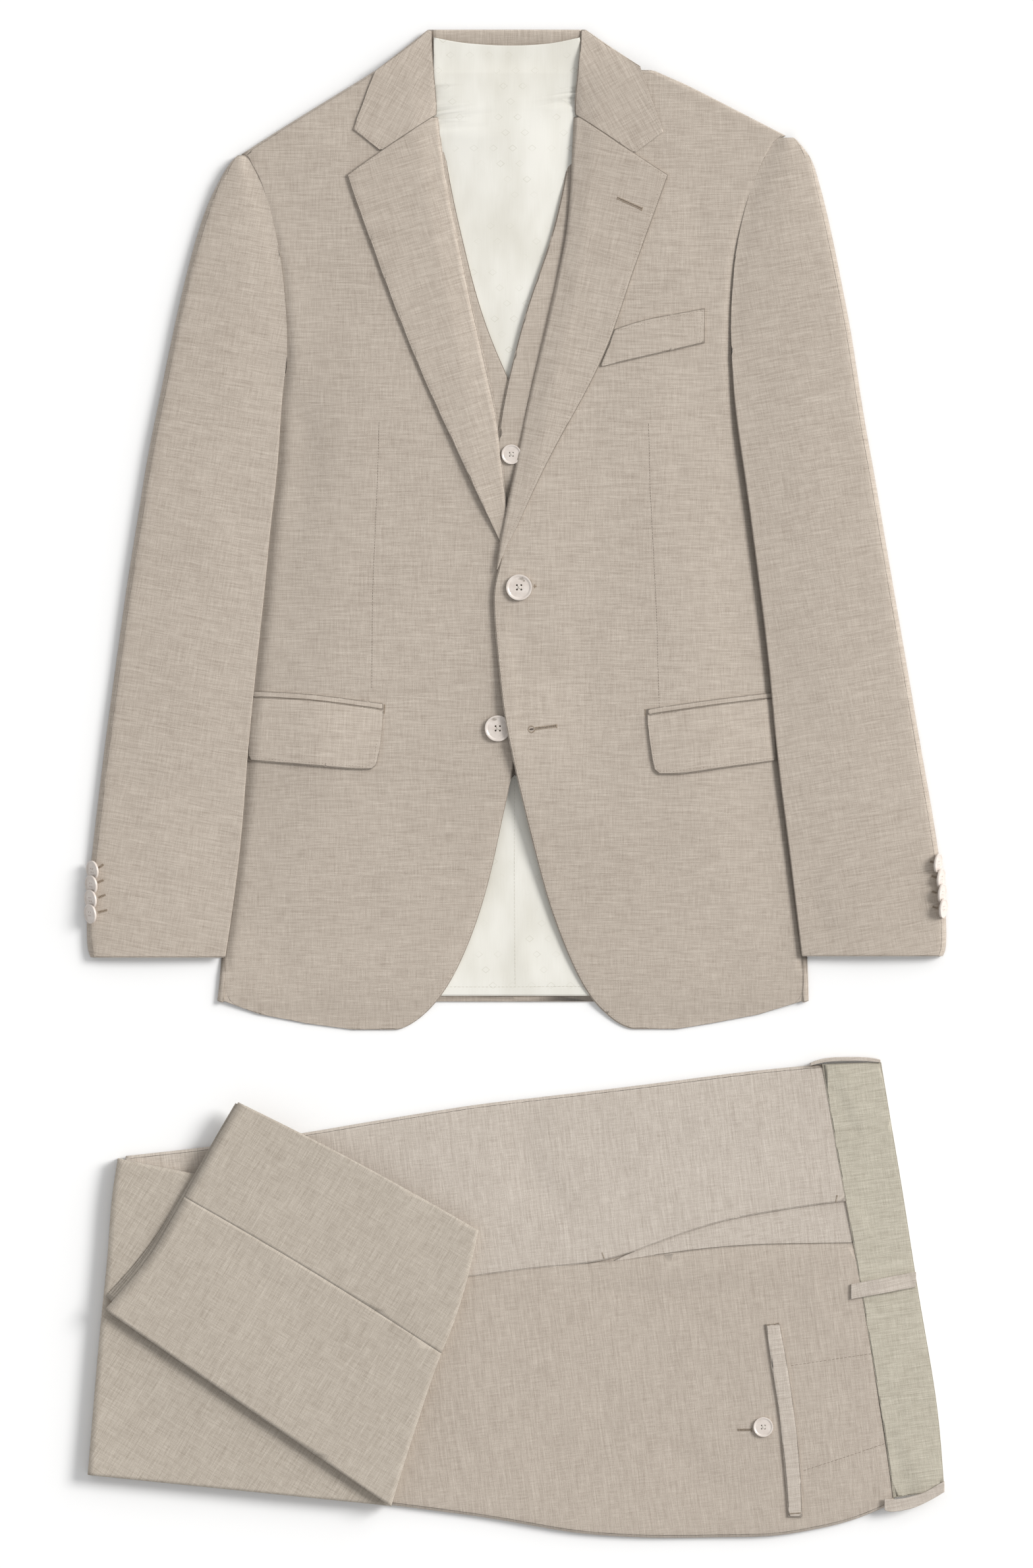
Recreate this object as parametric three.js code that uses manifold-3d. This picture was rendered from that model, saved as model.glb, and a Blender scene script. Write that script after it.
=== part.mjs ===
// A three-piece suit laid out flat: the buttoned jacket with the waistcoat inside it, and below
// them the trousers, folded in half along their creases, with both legs turned back and then
// turned again at an angle. Millimetres; +X is the viewer's right, +Y runs from the hems to the
// collar, +Z is up from the surface that everything lies on. Left and right in a name are the
// wearer's, so the jacket's left front is the one at the viewer's right and lies on top.
import * as THREE from 'three';
import { mergeVertices } from 'three/addons/utils/BufferGeometryUtils.js';
import Module from 'manifold-3d';

const wasm = await Module();
wasm.setup();

// ---------------------------------------------------------------- driving dimensions

const CLOTH = 1.2; // suiting with its fusing
const LINED = 1.5; // a small piece cut double: flap, loop
const LINING = 1.0;
const BAND = 2.0; // waistband with its stiffening
const GAP = 0.3; // between a piece and the one it lies on
const REST = 0.4; // the same on a crowned panel
const SEAM = 0.4; // between two pieces sewn edge to edge
const LAYER = CLOTH + GAP; // what one more layer of suiting adds to a stack
const STEP = 30; // length of a facet along a panel
const FINE_STEP = 15; // the same on small pieces and tight curves

// The jacket's stack over the floor, from the back up.
const BACK_SEAM_X = -1.5;
const LINING_FLOOR = CLOTH + GAP;
const WAISTCOAT_BACK_FLOOR = LINING_FLOOR + LINING + GAP;
const WAISTCOAT_FLOOR = WAISTCOAT_BACK_FLOOR + LINING + GAP;
const BACK_HEM_Y = -168.3;
const LINING_HEM_Y = -163.7;

// Buttons: radius of the face, thickness at the rim, depth of the dish, place of the four holes.
const FRONT_BUTTON = { radius: 10, thick: 2.6, dish: 0.7, rim: 1.5, pitch: 1.7, hole: 0.85 };
const SMALL_BUTTON = { radius: 7.6, thick: 2.0, dish: 0.5, rim: 1.2, pitch: 1.5, hole: 0.7 };
const CUFF_BUTTON = { radius: 7.5, thick: 1.7, dish: 0.45, rim: 1.2, pitch: 1.4, hole: 0.7 };
const BUTTON_SIDES = 12;
const HOLE_SIDES = 4;

// ---------------------------------------------------------------- curves and surfaces

const toVector = (x, y) => new THREE.Vector2(x, y);

/** 0 below a, 1 above b, smooth between. */
const ease = (a, b, value) => THREE.MathUtils.smoothstep(value, a, b);

/** Smooth curve through a short table, with no overshoot between its rows. */
function curve(stations, values) {
  const order = stations.map((_, i) => i).sort((a, b) => stations[a] - stations[b]);
  const s = order.map((i) => stations[i]);
  const v = order.map((i) => values[i]);
  const chord = s.slice(1).map((next, i) => (v[i + 1] - v[i]) / (next - s[i]));
  const slope = s.map((_, i) => {
    if (i === 0) return chord[0];
    if (i === s.length - 1) return chord[i - 1];
    const [before, after] = [chord[i - 1], chord[i]];
    return before * after > 0 ? (2 * before * after) / (before + after) : 0;
  });
  const read = (at) => {
    const clamped = THREE.MathUtils.clamp(at, s[0], s.at(-1));
    const i = Math.max(0, s.findIndex((next) => next >= clamped) - 1);
    const span = s[i + 1] - s[i];
    const t = (clamped - s[i]) / span;
    const [t2, t3] = [t * t, t * t * t];
    return v[i] * (2 * t3 - 3 * t2 + 1) + slope[i] * span * (t3 - 2 * t2 + t)
      + v[i + 1] * (3 * t2 - 2 * t3) + slope[i + 1] * span * (t3 - t2);
  };
  return Object.assign(read, { low: s[0], high: s.at(-1) });
}

/** An edge that runs up or down the jacket: x for each y. */
const upright = ({ x, y }) => curve(y, x);

/** An edge that runs along the trousers or a pocket: y for each x. */
const level = ({ x, y }) => curve(x, y);

/** Curves that meet at corners, read as one edge. */
function cornered(...curves) {
  return (at) => (curves.find((piece) => at >= piece.low && at <= piece.high) ?? curves.at(-1))(at);
}

/** Stations from one end of a panel to the other, about a step apart, with its corners among them. */
function stationsBetween(from, to, step, corners) {
  const [low, high] = [Math.min(from, to), Math.max(from, to)];
  const fixed = [low, ...corners.filter((c) => c > low && c < high), high].sort((a, b) => a - b);
  const near = (s) => fixed.some((f) => Math.abs(f - s) < step / 3);
  const between = [];
  for (let s = Math.ceil(low / step) * step; s < high; s += step) {
    if (!near(s)) between.push(s);
  }
  const all = [...fixed, ...between].sort((a, b) => a - b);
  return from < to ? all : all.reverse();
}

const ROLL_ANGLES = [0, 30, 60].map(THREE.MathUtils.degToRad);
const NO_ROLL = { out: 0, down: 0 };

/** The columns of a panel's section: round its rolled edges, at its insets, evenly between. */
function sectionColumns(count, rollLeft, rollRight, insets) {
  const middle = Array.from({ length: count + 1 }, (_, i) => ({ fraction: i / count }));
  const left = rollLeft ? ROLL_ANGLES.map((angle) => ({ side: 'left', angle })) : [];
  const right = rollRight ? ROLL_ANGLES.map((angle) => ({ side: 'right', angle })).reverse() : [];
  const [first, ...rest] = middle;
  return [...left, first, ...insets.map((inset) => ({ inset })), ...rest, ...right];
}

/** Distance in from the panel's left edge, drop below its top, and outward normal, at a column. */
function sectionAt(column, width, rollLeft, rollRight) {
  if (column.inset) {
    return { inward: column.inset, drop: 0, normal: toVector(0, 1) };
  }
  if (column.side === undefined) {
    const flat = width - rollLeft.out - rollRight.out;
    return { inward: rollLeft.out + column.fraction * flat, drop: 0, normal: toVector(0, 1) };
  }
  const roll = column.side === 'left' ? rollLeft : rollRight;
  const [cos, sin] = [Math.cos(column.angle), Math.sin(column.angle)];
  const away = column.side === 'left' ? -1 : 1;
  const reach = roll.out * (1 - cos);
  return {
    inward: column.side === 'left' ? reach : width - reach,
    drop: roll.down * (1 - sin),
    normal: toVector(away * cos * roll.down, Math.max(sin * roll.out, 0.001)).normalize(),
  };
}

/**
 * A piece of cloth between two edges. Each edge gives a point for each station; top gives the
 * height of the upper face. The wall hangs below it, or reaches down to the underside if that
 * is given. A rolled edge turns down: `out` is how far in it starts, `down` how far it drops.
 * Stations bow towards the next one by `bow` at the middle of their length; insets are more
 * columns, set this far in from the left edge.
 */
function panel({
  from, to, left, right, top, wall = CLOTH, underside = null, columns = 8, corners = [],
  step = STEP, rollLeft = null, rollRight = null, bow = () => 0, insets = [],
}) {
  const stations = stationsBetween(from, to, step, corners);
  const section = sectionColumns(columns, rollLeft, rollRight, insets);
  const [lastColumn, lastStation] = [section.length - 1, stations.length - 1];
  const geometry = new THREE.BoxGeometry(1, 1, 1, lastColumn, lastStation, 1);
  const place = geometry.attributes.position;
  for (let i = 0; i < place.count; i += 1) {
    const column = section[Math.round((place.getX(i) + 0.5) * lastColumn)];
    const station = stations[Math.round((place.getY(i) + 0.5) * lastStation)];
    const [start, end] = [left(station), right(station)];
    const across = end.clone().sub(start);
    const width = across.length();
    across.normalize();
    const rolls = [rollLeft, rollRight].map((roll) => (roll ? roll(station) : NO_ROLL));
    const { inward, drop, normal } = sectionAt(column, width, ...rolls);
    const point = start.clone().addScaledVector(across, inward);
    const onward = toVector(-across.y, across.x);
    point.addScaledVector(onward, bow(station) * Math.sin((Math.PI * inward) / width));
    let z = top(point.x, point.y) - drop;
    if (place.getZ(i) < 0 && underside) {
      z = underside(point.x, point.y, inward);
    } else if (place.getZ(i) < 0) {
      point.addScaledVector(across, -normal.x * wall);
      z -= normal.y * wall;
    }
    place.setXYZ(i, point.x, point.y, z);
  }
  return closed(geometry);
}

/** A panel whose stations are heights: its edges are x for each y. */
function uprightPanel({ left, right, ...rest }) {
  const edges = { left: (y) => toVector(left(y), y), right: (y) => toVector(right(y), y) };
  return panel({ ...rest, ...edges });
}

/** A panel whose stations are x, from the right to the left: its edges are y for each x. */
function levelPanel({ low, high, from, to, ...rest }) {
  const edges = { left: (x) => toVector(x, low(x)), right: (x) => toVector(x, high(x)) };
  return panel({ ...rest, ...edges, from: Math.max(from, to), to: Math.min(from, to) });
}

/** Shared corners only, as a closed body needs. */
function closed(geometry) {
  geometry.deleteAttribute('normal');
  geometry.deleteAttribute('uv');
  return mergeVertices(geometry, 1e-4);
}

function toSolid(geometry) {
  const merged = geometry.attributes.normal ? closed(geometry) : geometry;
  return new wasm.Manifold(new wasm.Mesh({
    numProp: 3,
    vertProperties: new Float32Array(merged.attributes.position.array),
    triVerts: new Uint32Array(merged.index.array),
  }));
}

function toGeometry(solid) {
  const mesh = solid.getMesh();
  const geometry = new THREE.BufferGeometry();
  geometry.setAttribute('position', new THREE.BufferAttribute(mesh.vertProperties, 3));
  geometry.setIndex(new THREE.BufferAttribute(mesh.triVerts, 1));
  return geometry;
}

// ---------------------------------------------------------------- materials and the group

const group = new THREE.Group();

const finish = (color, roughness) => () => new THREE.MeshStandardMaterial({
  color, roughness, metalness: 0,
});
const suiting = finish(0xbcb2a5, 0.9);
const trouserCloth = finish(0xc4bbae, 0.9);
const bandCloth = finish(0xc0b8a8, 0.9);
const liningCloth = finish(0xe8e5db, 0.45);
const horn = finish(0xd9cec6, 0.35);

function add(name, geometry, material) {
  const mesh = new THREE.Mesh(geometry, material());
  mesh.name = name;
  group.add(mesh);
  return mesh;
}

// ---------------------------------------------------------------- jacket outline

// Shoulder line from the armhole point to where it goes under the collar, then the armhole.
const SHOULDER_RIGHT = upright({ y: [487.5, 505, 515, 553], x: [-213, -187, -169, -108] });
const SHOULDER_LEFT = upright({ y: [502, 517, 533, 547, 556], x: [208.5, 181, 149, 119, 97] });
const SHOULDER_POINT_RIGHT_Y = 487.5;
const SHOULDER_POINT_LEFT_Y = 502;
const ARMHOLE_RIGHT = upright({
  y: [487.5, 478, 467, 448, 428, 410, 390, 368, 331],
  x: [-213, -204.5, -198, -192, -187, -184, -181, -179.5, -178],
});
const ARMHOLE_LEFT = upright({
  y: [502, 496, 484, 469, 448, 432, 416, 396, 372, 331],
  x: [208.5, 199, 191.5, 185, 178, 174, 171, 168.5, 167, 167],
});
const ARMPIT_Y = 331;
// Every piece sewn round an armhole has a station at each of these heights.
const ARMHOLE_STATIONS_RIGHT = [ARMPIT_Y, 448, 467, 478];
const ARMHOLE_STATIONS_LEFT = [ARMPIT_Y, 448, 469, 484, 496];

// Side edge of the body, under the sleeve from the armpit to the cuff and bare below it.
const BODY_SIDE_RIGHT = upright({
  y: [331, 300, 45, -134, -147, -168],
  x: [-178, -190, -219, -228.5, -229.5, -232],
});
const BODY_SIDE_LEFT = upright({ y: [331, 300, 45, -134, -168], x: [167, 179, 211, 225.5, 226.5] });
// The seam that joins the front to the side body, this far in from the side edge.
const SIDE_BODY_WIDTH = curve([-168, -134, 45, 300, 331], [5, 3.4, 8, 6.5, 4.5]);
const ARMPIT_FOLD_Y = 318;
const SIDE_FOOT_Y = -167.6; // of the side bodies

// Lapel roll lines. Each front stops short of its roll line, so the lapel can turn over it.
const ROLL_RIGHT = upright({
  y: [578, 555, 509, 460, 409, 373, 335, 304, 278, 230, 190, 165],
  x: [-66, -64.5, -60, -53, -42.5, -35.5, -26.5, -19, -14.5, -9.5, -5, -2],
});
const ROLL_LEFT = upright({
  y: [578, 551, 518, 504, 428, 388, 341, 313, 284, 258, 230, 191, 166],
  x: [50.5, 47.5, 44.5, 44, 39.5, 30.5, 20, 12, 6, 2, -4.5, -12, -16.5],
});
const ROLL_SET_BACK = 3.2;
const BREAK_RIGHT_Y = 165;
const BREAK_LEFT_Y = 166;

// Front edges below the lapels, down to the rounded corners at the hem.
const EDGE_LEFT = upright({
  y: [166, 145, 107, 56, 14, -37, -72, -104, -126, -147, -164, -177, -185, -189.5],
  x: [-16.5, -18.5, -15, -10, -1.5, 10.5, 19.5, 28.5, 37.5, 46.5, 56, 68.5, 78, 88],
});
const EDGE_RIGHT = upright({
  y: [165, 145, 107, 56, 12, -16, -48, -74, -104, -130, -149, -165, -178, -185, -190],
  x: [-2, 8, 9, 3, -2.5, -9, -15.5, -21, -30, -39.5, -48.5, -59, -71, -80, -90],
});
// Hems of the fronts, from the side edge to the lowest point.
const HEM_LEFT = upright({ y: [-168, -173.5, -179.5, -187, -189.5], x: [224, 207, 181, 140, 124] });
const HEM_RIGHT = upright({
  y: [-168, -176, -183, -188, -190],
  x: [-229, -208, -174, -145, -126],
});
const FRONT_FOOT_Y = { right: -190, left: -189.5 };
const FRONT_SIDE_FOOT_Y = -168;

// ---------------------------------------------------------------- heights of the jacket's layers

// Underside of the lower front at the middle of the body: over the waistcoat's buttons, then
// down to the back lining, and onto the floor where the fronts reach past the back's hem.
const MIDDLE_LIFT = curve(
  [-192, -182, -172, -162, -120, -20, 40, 560],
  [0.2, 0.4, 1.7, 3.1, 4.2, 8.2, 9.6, 9.6],
);
// The same at the side edge: low where the sleeve lies on it, high at the armhole.
const SIDE_LIFT = curve([-192, -182, -172, -162, 250, 331, 502], [0.2, 0.4, 1.7, 3.1, 3.3, 7.3, 7.6]);
const HALF_BODY = curve([-190, 45, 290, 331, 448, 502], [228, 212, 181, 172, 184, 208]);
const BODY_MIDDLE_X = -4;
const SIDE_SLOPE = 75;

/** Height of the underside of a front that lies straight on what is beneath. */
function frontLift(x, y) {
  const inFromSide = HALF_BODY(y) - Math.abs(x - BODY_MIDDLE_X);
  return THREE.MathUtils.lerp(SIDE_LIFT(y), MIDDLE_LIFT(y), ease(0, SIDE_SLOPE, inFromSide));
}

const frontTopRight = (x, y) => frontLift(x, y) + CLOTH;

// Where the left front climbs over the right front, over its lapel and over the lower button.
const OVERLAP = { clear: 60, edge: 16, bottom: -50, top: 0 };
const LAPEL_CROSSING = { x: -4, y: 196, near: 26, far: 84 };
const LOWER_BUTTON = { x: -14.5, y: 43 };
const OVER_BUTTON = { near: 15, far: 62, rise: FRONT_BUTTON.thick + 2 * GAP };

const spanFrom = (centre, x, y) => Math.hypot(x - centre.x, y - centre.y);

function frontTopLeft(x, y) {
  const overFront = (1 - ease(OVERLAP.edge, OVERLAP.clear, x)) * ease(OVERLAP.bottom, OVERLAP.top, y);
  const overLapel = 1 - ease(LAPEL_CROSSING.near, LAPEL_CROSSING.far, spanFrom(LAPEL_CROSSING, x, y));
  const overButton = 1 - ease(OVER_BUTTON.near, OVER_BUTTON.far, spanFrom(LOWER_BUTTON, x, y));
  const rise = LAYER * (overFront + overLapel) + OVER_BUTTON.rise * overButton;
  return frontTopRight(x, y) + rise;
}

/** The upper face of something that lies on another upper face. */
const laidOn = (surface, thickness) => (x, y) => surface(x, y) + REST + thickness;

const offset = (edge, by) => (at) => edge(at) + by;
const steady = (roll) => () => roll;

// ---------------------------------------------------------------- jacket back and lining

const backTop = () => CLOTH;
const NECK_FOOT_Y = 552; // the shoulder seams end here, under the collar
const BACK_INSET = 1.6;

function backHalf(name, left, right, corners) {
  add(name, uprightPanel({
    from: BACK_HEM_Y, to: NECK_FOOT_Y, left, right, top: backTop, columns: 1, corners,
  }), suiting);
}
backHalf(
  'jacket_back_right',
  offset(cornered(SHOULDER_RIGHT, ARMHOLE_RIGHT, BODY_SIDE_RIGHT), BACK_INSET),
  () => BACK_SEAM_X - SEAM / 2,
  [...ARMHOLE_STATIONS_RIGHT, SHOULDER_POINT_RIGHT_Y],
);
backHalf(
  'jacket_back_left',
  () => BACK_SEAM_X + SEAM / 2,
  offset(cornered(SHOULDER_LEFT, ARMHOLE_LEFT, BODY_SIDE_LEFT), -BACK_INSET),
  [...ARMHOLE_STATIONS_LEFT, SHOULDER_POINT_LEFT_Y],
);

// The lining is felled to the back hem and shows between the fronts.
const LINING_TOP_Y = 90;
const LINING_SIDE = { left: -98, right: 95 };
add('jacket_back_lining', uprightPanel({
  from: LINING_HEM_Y, to: LINING_TOP_Y, left: () => LINING_SIDE.left, right: () => LINING_SIDE.right,
  top: () => LINING_FLOOR + LINING, wall: LINING, columns: 6, step: STEP * 2,
}), liningCloth);

// ---------------------------------------------------------------- side bodies

const SIDE_ROLL = steady({ out: 2.6, down: 2.6 });
const sideTop = (x, y) => Math.max(frontTopRight(x, y), CLOTH + SIDE_ROLL().down + REST);
add('jacket_side_right', uprightPanel({
  from: SIDE_FOOT_Y, to: ARMPIT_FOLD_Y - SEAM, left: BODY_SIDE_RIGHT,
  right: (y) => BODY_SIDE_RIGHT(y) + SIDE_BODY_WIDTH(y) - SEAM,
  top: sideTop, columns: 1, rollLeft: SIDE_ROLL,
}), suiting);
add('jacket_side_left', uprightPanel({
  from: SIDE_FOOT_Y, to: ARMPIT_FOLD_Y - SEAM,
  left: (y) => BODY_SIDE_LEFT(y) - SIDE_BODY_WIDTH(y) + SEAM,
  right: BODY_SIDE_LEFT, top: sideTop, columns: 1, rollRight: SIDE_ROLL,
}), suiting);

// ---------------------------------------------------------------- waistcoat

const WAISTCOAT_SIDE = curve([-26, 100, 290, 331, 420, 500, 545], [150, 158, 158, 142, 118, 122, 100]);
const WAISTCOAT_FOOT_Y = 5; // the side seams end here; the points reach lower
const WAISTCOAT_POINT_Y = -24;
const WAISTCOAT_X = -4; // its middle
const WAISTCOAT_SHOULDER_Y = 540; // the fronts end here, under the lapels
const WAISTCOAT_CORNER_Y = 20; // of the closing edge and the slanting foot
const waistcoatLeft = (y) => WAISTCOAT_X - WAISTCOAT_SIDE(y);
const waistcoatRight = (y) => WAISTCOAT_X + WAISTCOAT_SIDE(y);

// Back, seen from inside: stations run across, so its neck can dip between the shoulders.
const WAISTCOAT_NECK = level({ x: [-64, -45, -4, 35, 49], y: [577.5, 573.5, 571, 573.5, 577.5] });


// The collar stand rises behind it, and the neck of the waistcoat lies up the stand.
const STAND = { left: -65, right: 49.5, foot: 553, top: 584, rise: 4 };
const standTop = (x, y) => LINING_FLOOR + LINING + STAND.rise * ease(STAND.foot, STAND.top, y);
const waistcoatBackTop = (x, y) => standTop(x, y) + GAP + LINING;
add('waistcoat_back', toGeometry(toSolid(uprightPanel({
  from: WAISTCOAT_FOOT_Y, to: WAISTCOAT_SHOULDER_Y, left: waistcoatLeft, right: waistcoatRight,
  top: waistcoatBackTop, wall: LINING, columns: 1,
})).add(toSolid(levelPanel({
  from: WAISTCOAT_NECK.low, to: WAISTCOAT_NECK.high,
  low: () => WAISTCOAT_SHOULDER_Y - GAP, high: WAISTCOAT_NECK, top: waistcoatBackTop, wall: LINING, columns: 5, step: FINE_STEP,
})))), liningCloth);

// Fronts: neckline down to the closing, the closing edge, then the point at the foot.
const WAISTCOAT_NECK_RIGHT = upright({
  y: [540, 500, 466, 413, 380, 341, 309], x: [-62, -57, -52, -40, -32, -19, -4],
});
const WAISTCOAT_NECK_LEFT = upright({
  y: [540, 500, 473, 434, 394, 379, 353, 309], x: [47, 43, 38.5, 30.5, 17.5, 11, 4, -7],
});
const WAISTCOAT_EDGE_RIGHT = upright({ y: [309, 280, 20], x: [-4, 8, 10] });
const WAISTCOAT_EDGE_LEFT = upright({ y: [309, 277, 250, 20], x: [-7, -15, -13, -12] });
const WAISTCOAT_FOOT_RIGHT = upright({ y: [20, WAISTCOAT_POINT_Y], x: [10, -30] });
const WAISTCOAT_FOOT_LEFT = upright({ y: [20, WAISTCOAT_POINT_Y], x: [-12, 26] });
const WAISTCOAT_HEM = upright({ y: [WAISTCOAT_POINT_Y, WAISTCOAT_FOOT_Y], x: [36, 154] });
const WAISTCOAT_CLOSING_Y = 309;
const WAISTCOAT_CORNERS = [WAISTCOAT_FOOT_Y, WAISTCOAT_CORNER_Y, WAISTCOAT_CLOSING_Y];
const waistcoatOuter = cornered(WAISTCOAT_HEM, WAISTCOAT_SIDE);
const WAISTCOAT_STEP = { edge: 14, clear: 46 };
const waistcoatTopRight = () => WAISTCOAT_FLOOR + CLOTH;
const waistcoatTopLeft = (x) => waistcoatTopRight()
  + LAYER * (1 - ease(WAISTCOAT_STEP.edge, WAISTCOAT_STEP.clear, x));

add('waistcoat_front_right', uprightPanel({
  from: WAISTCOAT_POINT_Y, to: WAISTCOAT_SHOULDER_Y, left: (y) => WAISTCOAT_X - waistcoatOuter(y),
  right: cornered(WAISTCOAT_NECK_RIGHT, WAISTCOAT_EDGE_RIGHT, WAISTCOAT_FOOT_RIGHT),
  top: waistcoatTopRight, columns: 2, corners: WAISTCOAT_CORNERS,
}), suiting);
add('waistcoat_front_left', uprightPanel({
  from: WAISTCOAT_POINT_Y, to: WAISTCOAT_SHOULDER_Y, right: (y) => WAISTCOAT_X + waistcoatOuter(y),
  left: cornered(WAISTCOAT_NECK_LEFT, WAISTCOAT_EDGE_LEFT, WAISTCOAT_FOOT_LEFT),
  top: waistcoatTopLeft, columns: 5, corners: WAISTCOAT_CORNERS,
}), suiting);

// ---------------------------------------------------------------- fronts

const SHOULDER_ROLL = { out: 6, down: 6.5, plainOut: 0.4, plainDown: 0.05 };
const CORNER_ROUND_Y = [-178, -185];

/** Roll of the shoulder line; at the armhole and the side seam the front ends in a plain edge. */
const shoulderRoll = (shoulderY) => (y) => {
  const share = ease(shoulderY - 14, shoulderY + 2, y);
  return {
    out: SHOULDER_ROLL.out * share + SHOULDER_ROLL.plainOut,
    down: SHOULDER_ROLL.down * share + SHOULDER_ROLL.plainDown,
  };
};

/** A curve moved sideways, which still knows where it starts and ends. */
function offsetCurve(source, by) {
  return Object.assign((at) => source(at) + by, { low: source.low, high: source.high });
}

/** Where the front ends at the side body: from the hem to just below the armpit. */
function sideSeam(bodySide, inward) {
  const read = (y) => bodySide(y) + inward * SIDE_BODY_WIDTH(y);
  return Object.assign(read, { low: SIDE_FOOT_Y - SEAM, high: ARMPIT_FOLD_Y });
}

/** From the foot of the armhole across to the head of the side seam. */
function armpitTurn(armhole, bodySide, inward) {
  return upright({
    y: [ARMPIT_Y, ARMPIT_FOLD_Y],
    x: [armhole(ARMPIT_Y) + inward * SEAM, sideSeam(bodySide, inward)(ARMPIT_FOLD_Y)],
  });
}

const frontSideRight = cornered(
  SHOULDER_RIGHT,
  offsetCurve(ARMHOLE_RIGHT, SEAM),
  armpitTurn(ARMHOLE_RIGHT, BODY_SIDE_RIGHT, 1),
  sideSeam(BODY_SIDE_RIGHT, 1),
  HEM_RIGHT,
);
const frontSideLeft = cornered(
  SHOULDER_LEFT,
  offsetCurve(ARMHOLE_LEFT, -SEAM),
  armpitTurn(ARMHOLE_LEFT, BODY_SIDE_LEFT, -1),
  sideSeam(BODY_SIDE_LEFT, -1),
  HEM_LEFT,
);

const FRONT_CORNERS = [FRONT_SIDE_FOOT_Y, ARMPIT_FOLD_Y, ...CORNER_ROUND_Y];

add('jacket_front_right', uprightPanel({
  from: FRONT_FOOT_Y.right, to: NECK_FOOT_Y, left: frontSideRight,
  right: cornered(offsetCurve(ROLL_RIGHT, -ROLL_SET_BACK), EDGE_RIGHT),
  top: frontTopRight, columns: 7,
  corners: [...FRONT_CORNERS, ...ARMHOLE_STATIONS_RIGHT, SHOULDER_POINT_RIGHT_Y, BREAK_RIGHT_Y],
  rollLeft: shoulderRoll(SHOULDER_POINT_RIGHT_Y),
}), suiting);
add('jacket_front_left', uprightPanel({
  from: FRONT_FOOT_Y.left, to: NECK_FOOT_Y, right: frontSideLeft,
  left: cornered(offsetCurve(ROLL_LEFT, ROLL_SET_BACK), EDGE_LEFT),
  top: frontTopLeft, columns: 7,
  corners: [...FRONT_CORNERS, ...ARMHOLE_STATIONS_LEFT, SHOULDER_POINT_LEFT_Y, BREAK_LEFT_Y],
  rollRight: shoulderRoll(SHOULDER_POINT_LEFT_Y),
}), suiting);

// ---------------------------------------------------------------- lapels and collar

const GORGE_TOP_Y = 518;
const LAPEL_TOP_Y = 515.8;
const LAPEL_FOOT_Y = 172;
const GORGE_X = { right: -61.5, left: 45 };
const LAPEL_ROLL = steady({ out: 2.6, down: 2.2 });
const LAPEL_OUTER_RIGHT = upright({
  y: [471, 456, 427, 381, 321, 300, 251, 227, 202, 172],
  x: [-131, -126.5, -115.5, -99, -75, -66, -42.5, -32, -19.5, -5.5],
});
const LAPEL_OUTER_LEFT = upright({
  y: [471, 440, 398, 347, 321, 249, 172],
  x: [117, 106, 90.5, 74, 63, 23.5, -12],
});
const NOTCH_RIGHT = { x: -104.5, y: 490 };
const NOTCH_LEFT = { x: 90.5, y: 488 };
const TIP_RIGHT = { x: -131, y: 471 };
const TIP_LEFT = { x: 117, y: 471 };

function lapelTopEdge(tip, notch, rollX) {
  return [
    upright({ y: [tip.y, notch.y], x: [tip.x, notch.x] }),
    upright({ y: [notch.y, GORGE_TOP_Y], x: [notch.x, rollX] }),
  ];
}
add('jacket_lapel_right', uprightPanel({
  from: LAPEL_FOOT_Y, to: LAPEL_TOP_Y, right: ROLL_RIGHT,
  left: cornered(...lapelTopEdge(TIP_RIGHT, NOTCH_RIGHT, GORGE_X.right), LAPEL_OUTER_RIGHT),
  top: laidOn(frontTopRight, CLOTH), columns: 5, corners: [TIP_RIGHT.y, NOTCH_RIGHT.y],
  rollRight: LAPEL_ROLL,
}), suiting);
add('jacket_lapel_left', uprightPanel({
  from: LAPEL_FOOT_Y, to: LAPEL_TOP_Y, left: ROLL_LEFT,
  right: cornered(...lapelTopEdge(TIP_LEFT, NOTCH_LEFT, GORGE_X.left), LAPEL_OUTER_LEFT),
  top: laidOn(frontTopLeft, CLOTH), columns: 5, corners: [TIP_LEFT.y, NOTCH_LEFT.y],
  rollLeft: LAPEL_ROLL,
}), suiting);

// Collar leaves: gorge seam and notch below, fold over the shoulder above.
const COLLAR_TOP_Y = 583.5;
const COLLAR_POINT_RIGHT_Y = 506.5;
const COLLAR_POINT_LEFT_Y = 504.5;
const COLLAR_BEND_RIGHT_Y = 552;
const COLLAR_BEND_LEFT_Y = 555;
const COLLAR_EDGE_RIGHT = cornered(
  upright({ y: [COLLAR_TOP_Y, COLLAR_BEND_RIGHT_Y], x: [-69, -108.5] }),
  upright({ y: [COLLAR_BEND_RIGHT_Y, 542, 531, COLLAR_POINT_RIGHT_Y], x: [-108.5, -113.5, -117, -127] }),
  upright({ y: [COLLAR_POINT_RIGHT_Y, NOTCH_RIGHT.y], x: [-127, -105] }),
);
const COLLAR_EDGE_LEFT = cornered(
  upright({ y: [COLLAR_TOP_Y, COLLAR_BEND_LEFT_Y], x: [54, 95.5] }),
  upright({ y: [COLLAR_BEND_LEFT_Y, 538, COLLAR_POINT_LEFT_Y], x: [95.5, 101.5, 114] }),
  upright({ y: [COLLAR_POINT_LEFT_Y, NOTCH_LEFT.y], x: [114, 91] }),
);
const GORGE_GAP = 0.6;
const COLLAR_FALL = 5.2; // from the fronts down to the stand, past the end of the fronts
const collarTop = (surface) => (x, y) => surface(x, Math.min(y, NECK_FOOT_Y)) + GAP + CLOTH
  - COLLAR_FALL * ease(NECK_FOOT_Y + 2, COLLAR_TOP_Y, y);

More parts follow.
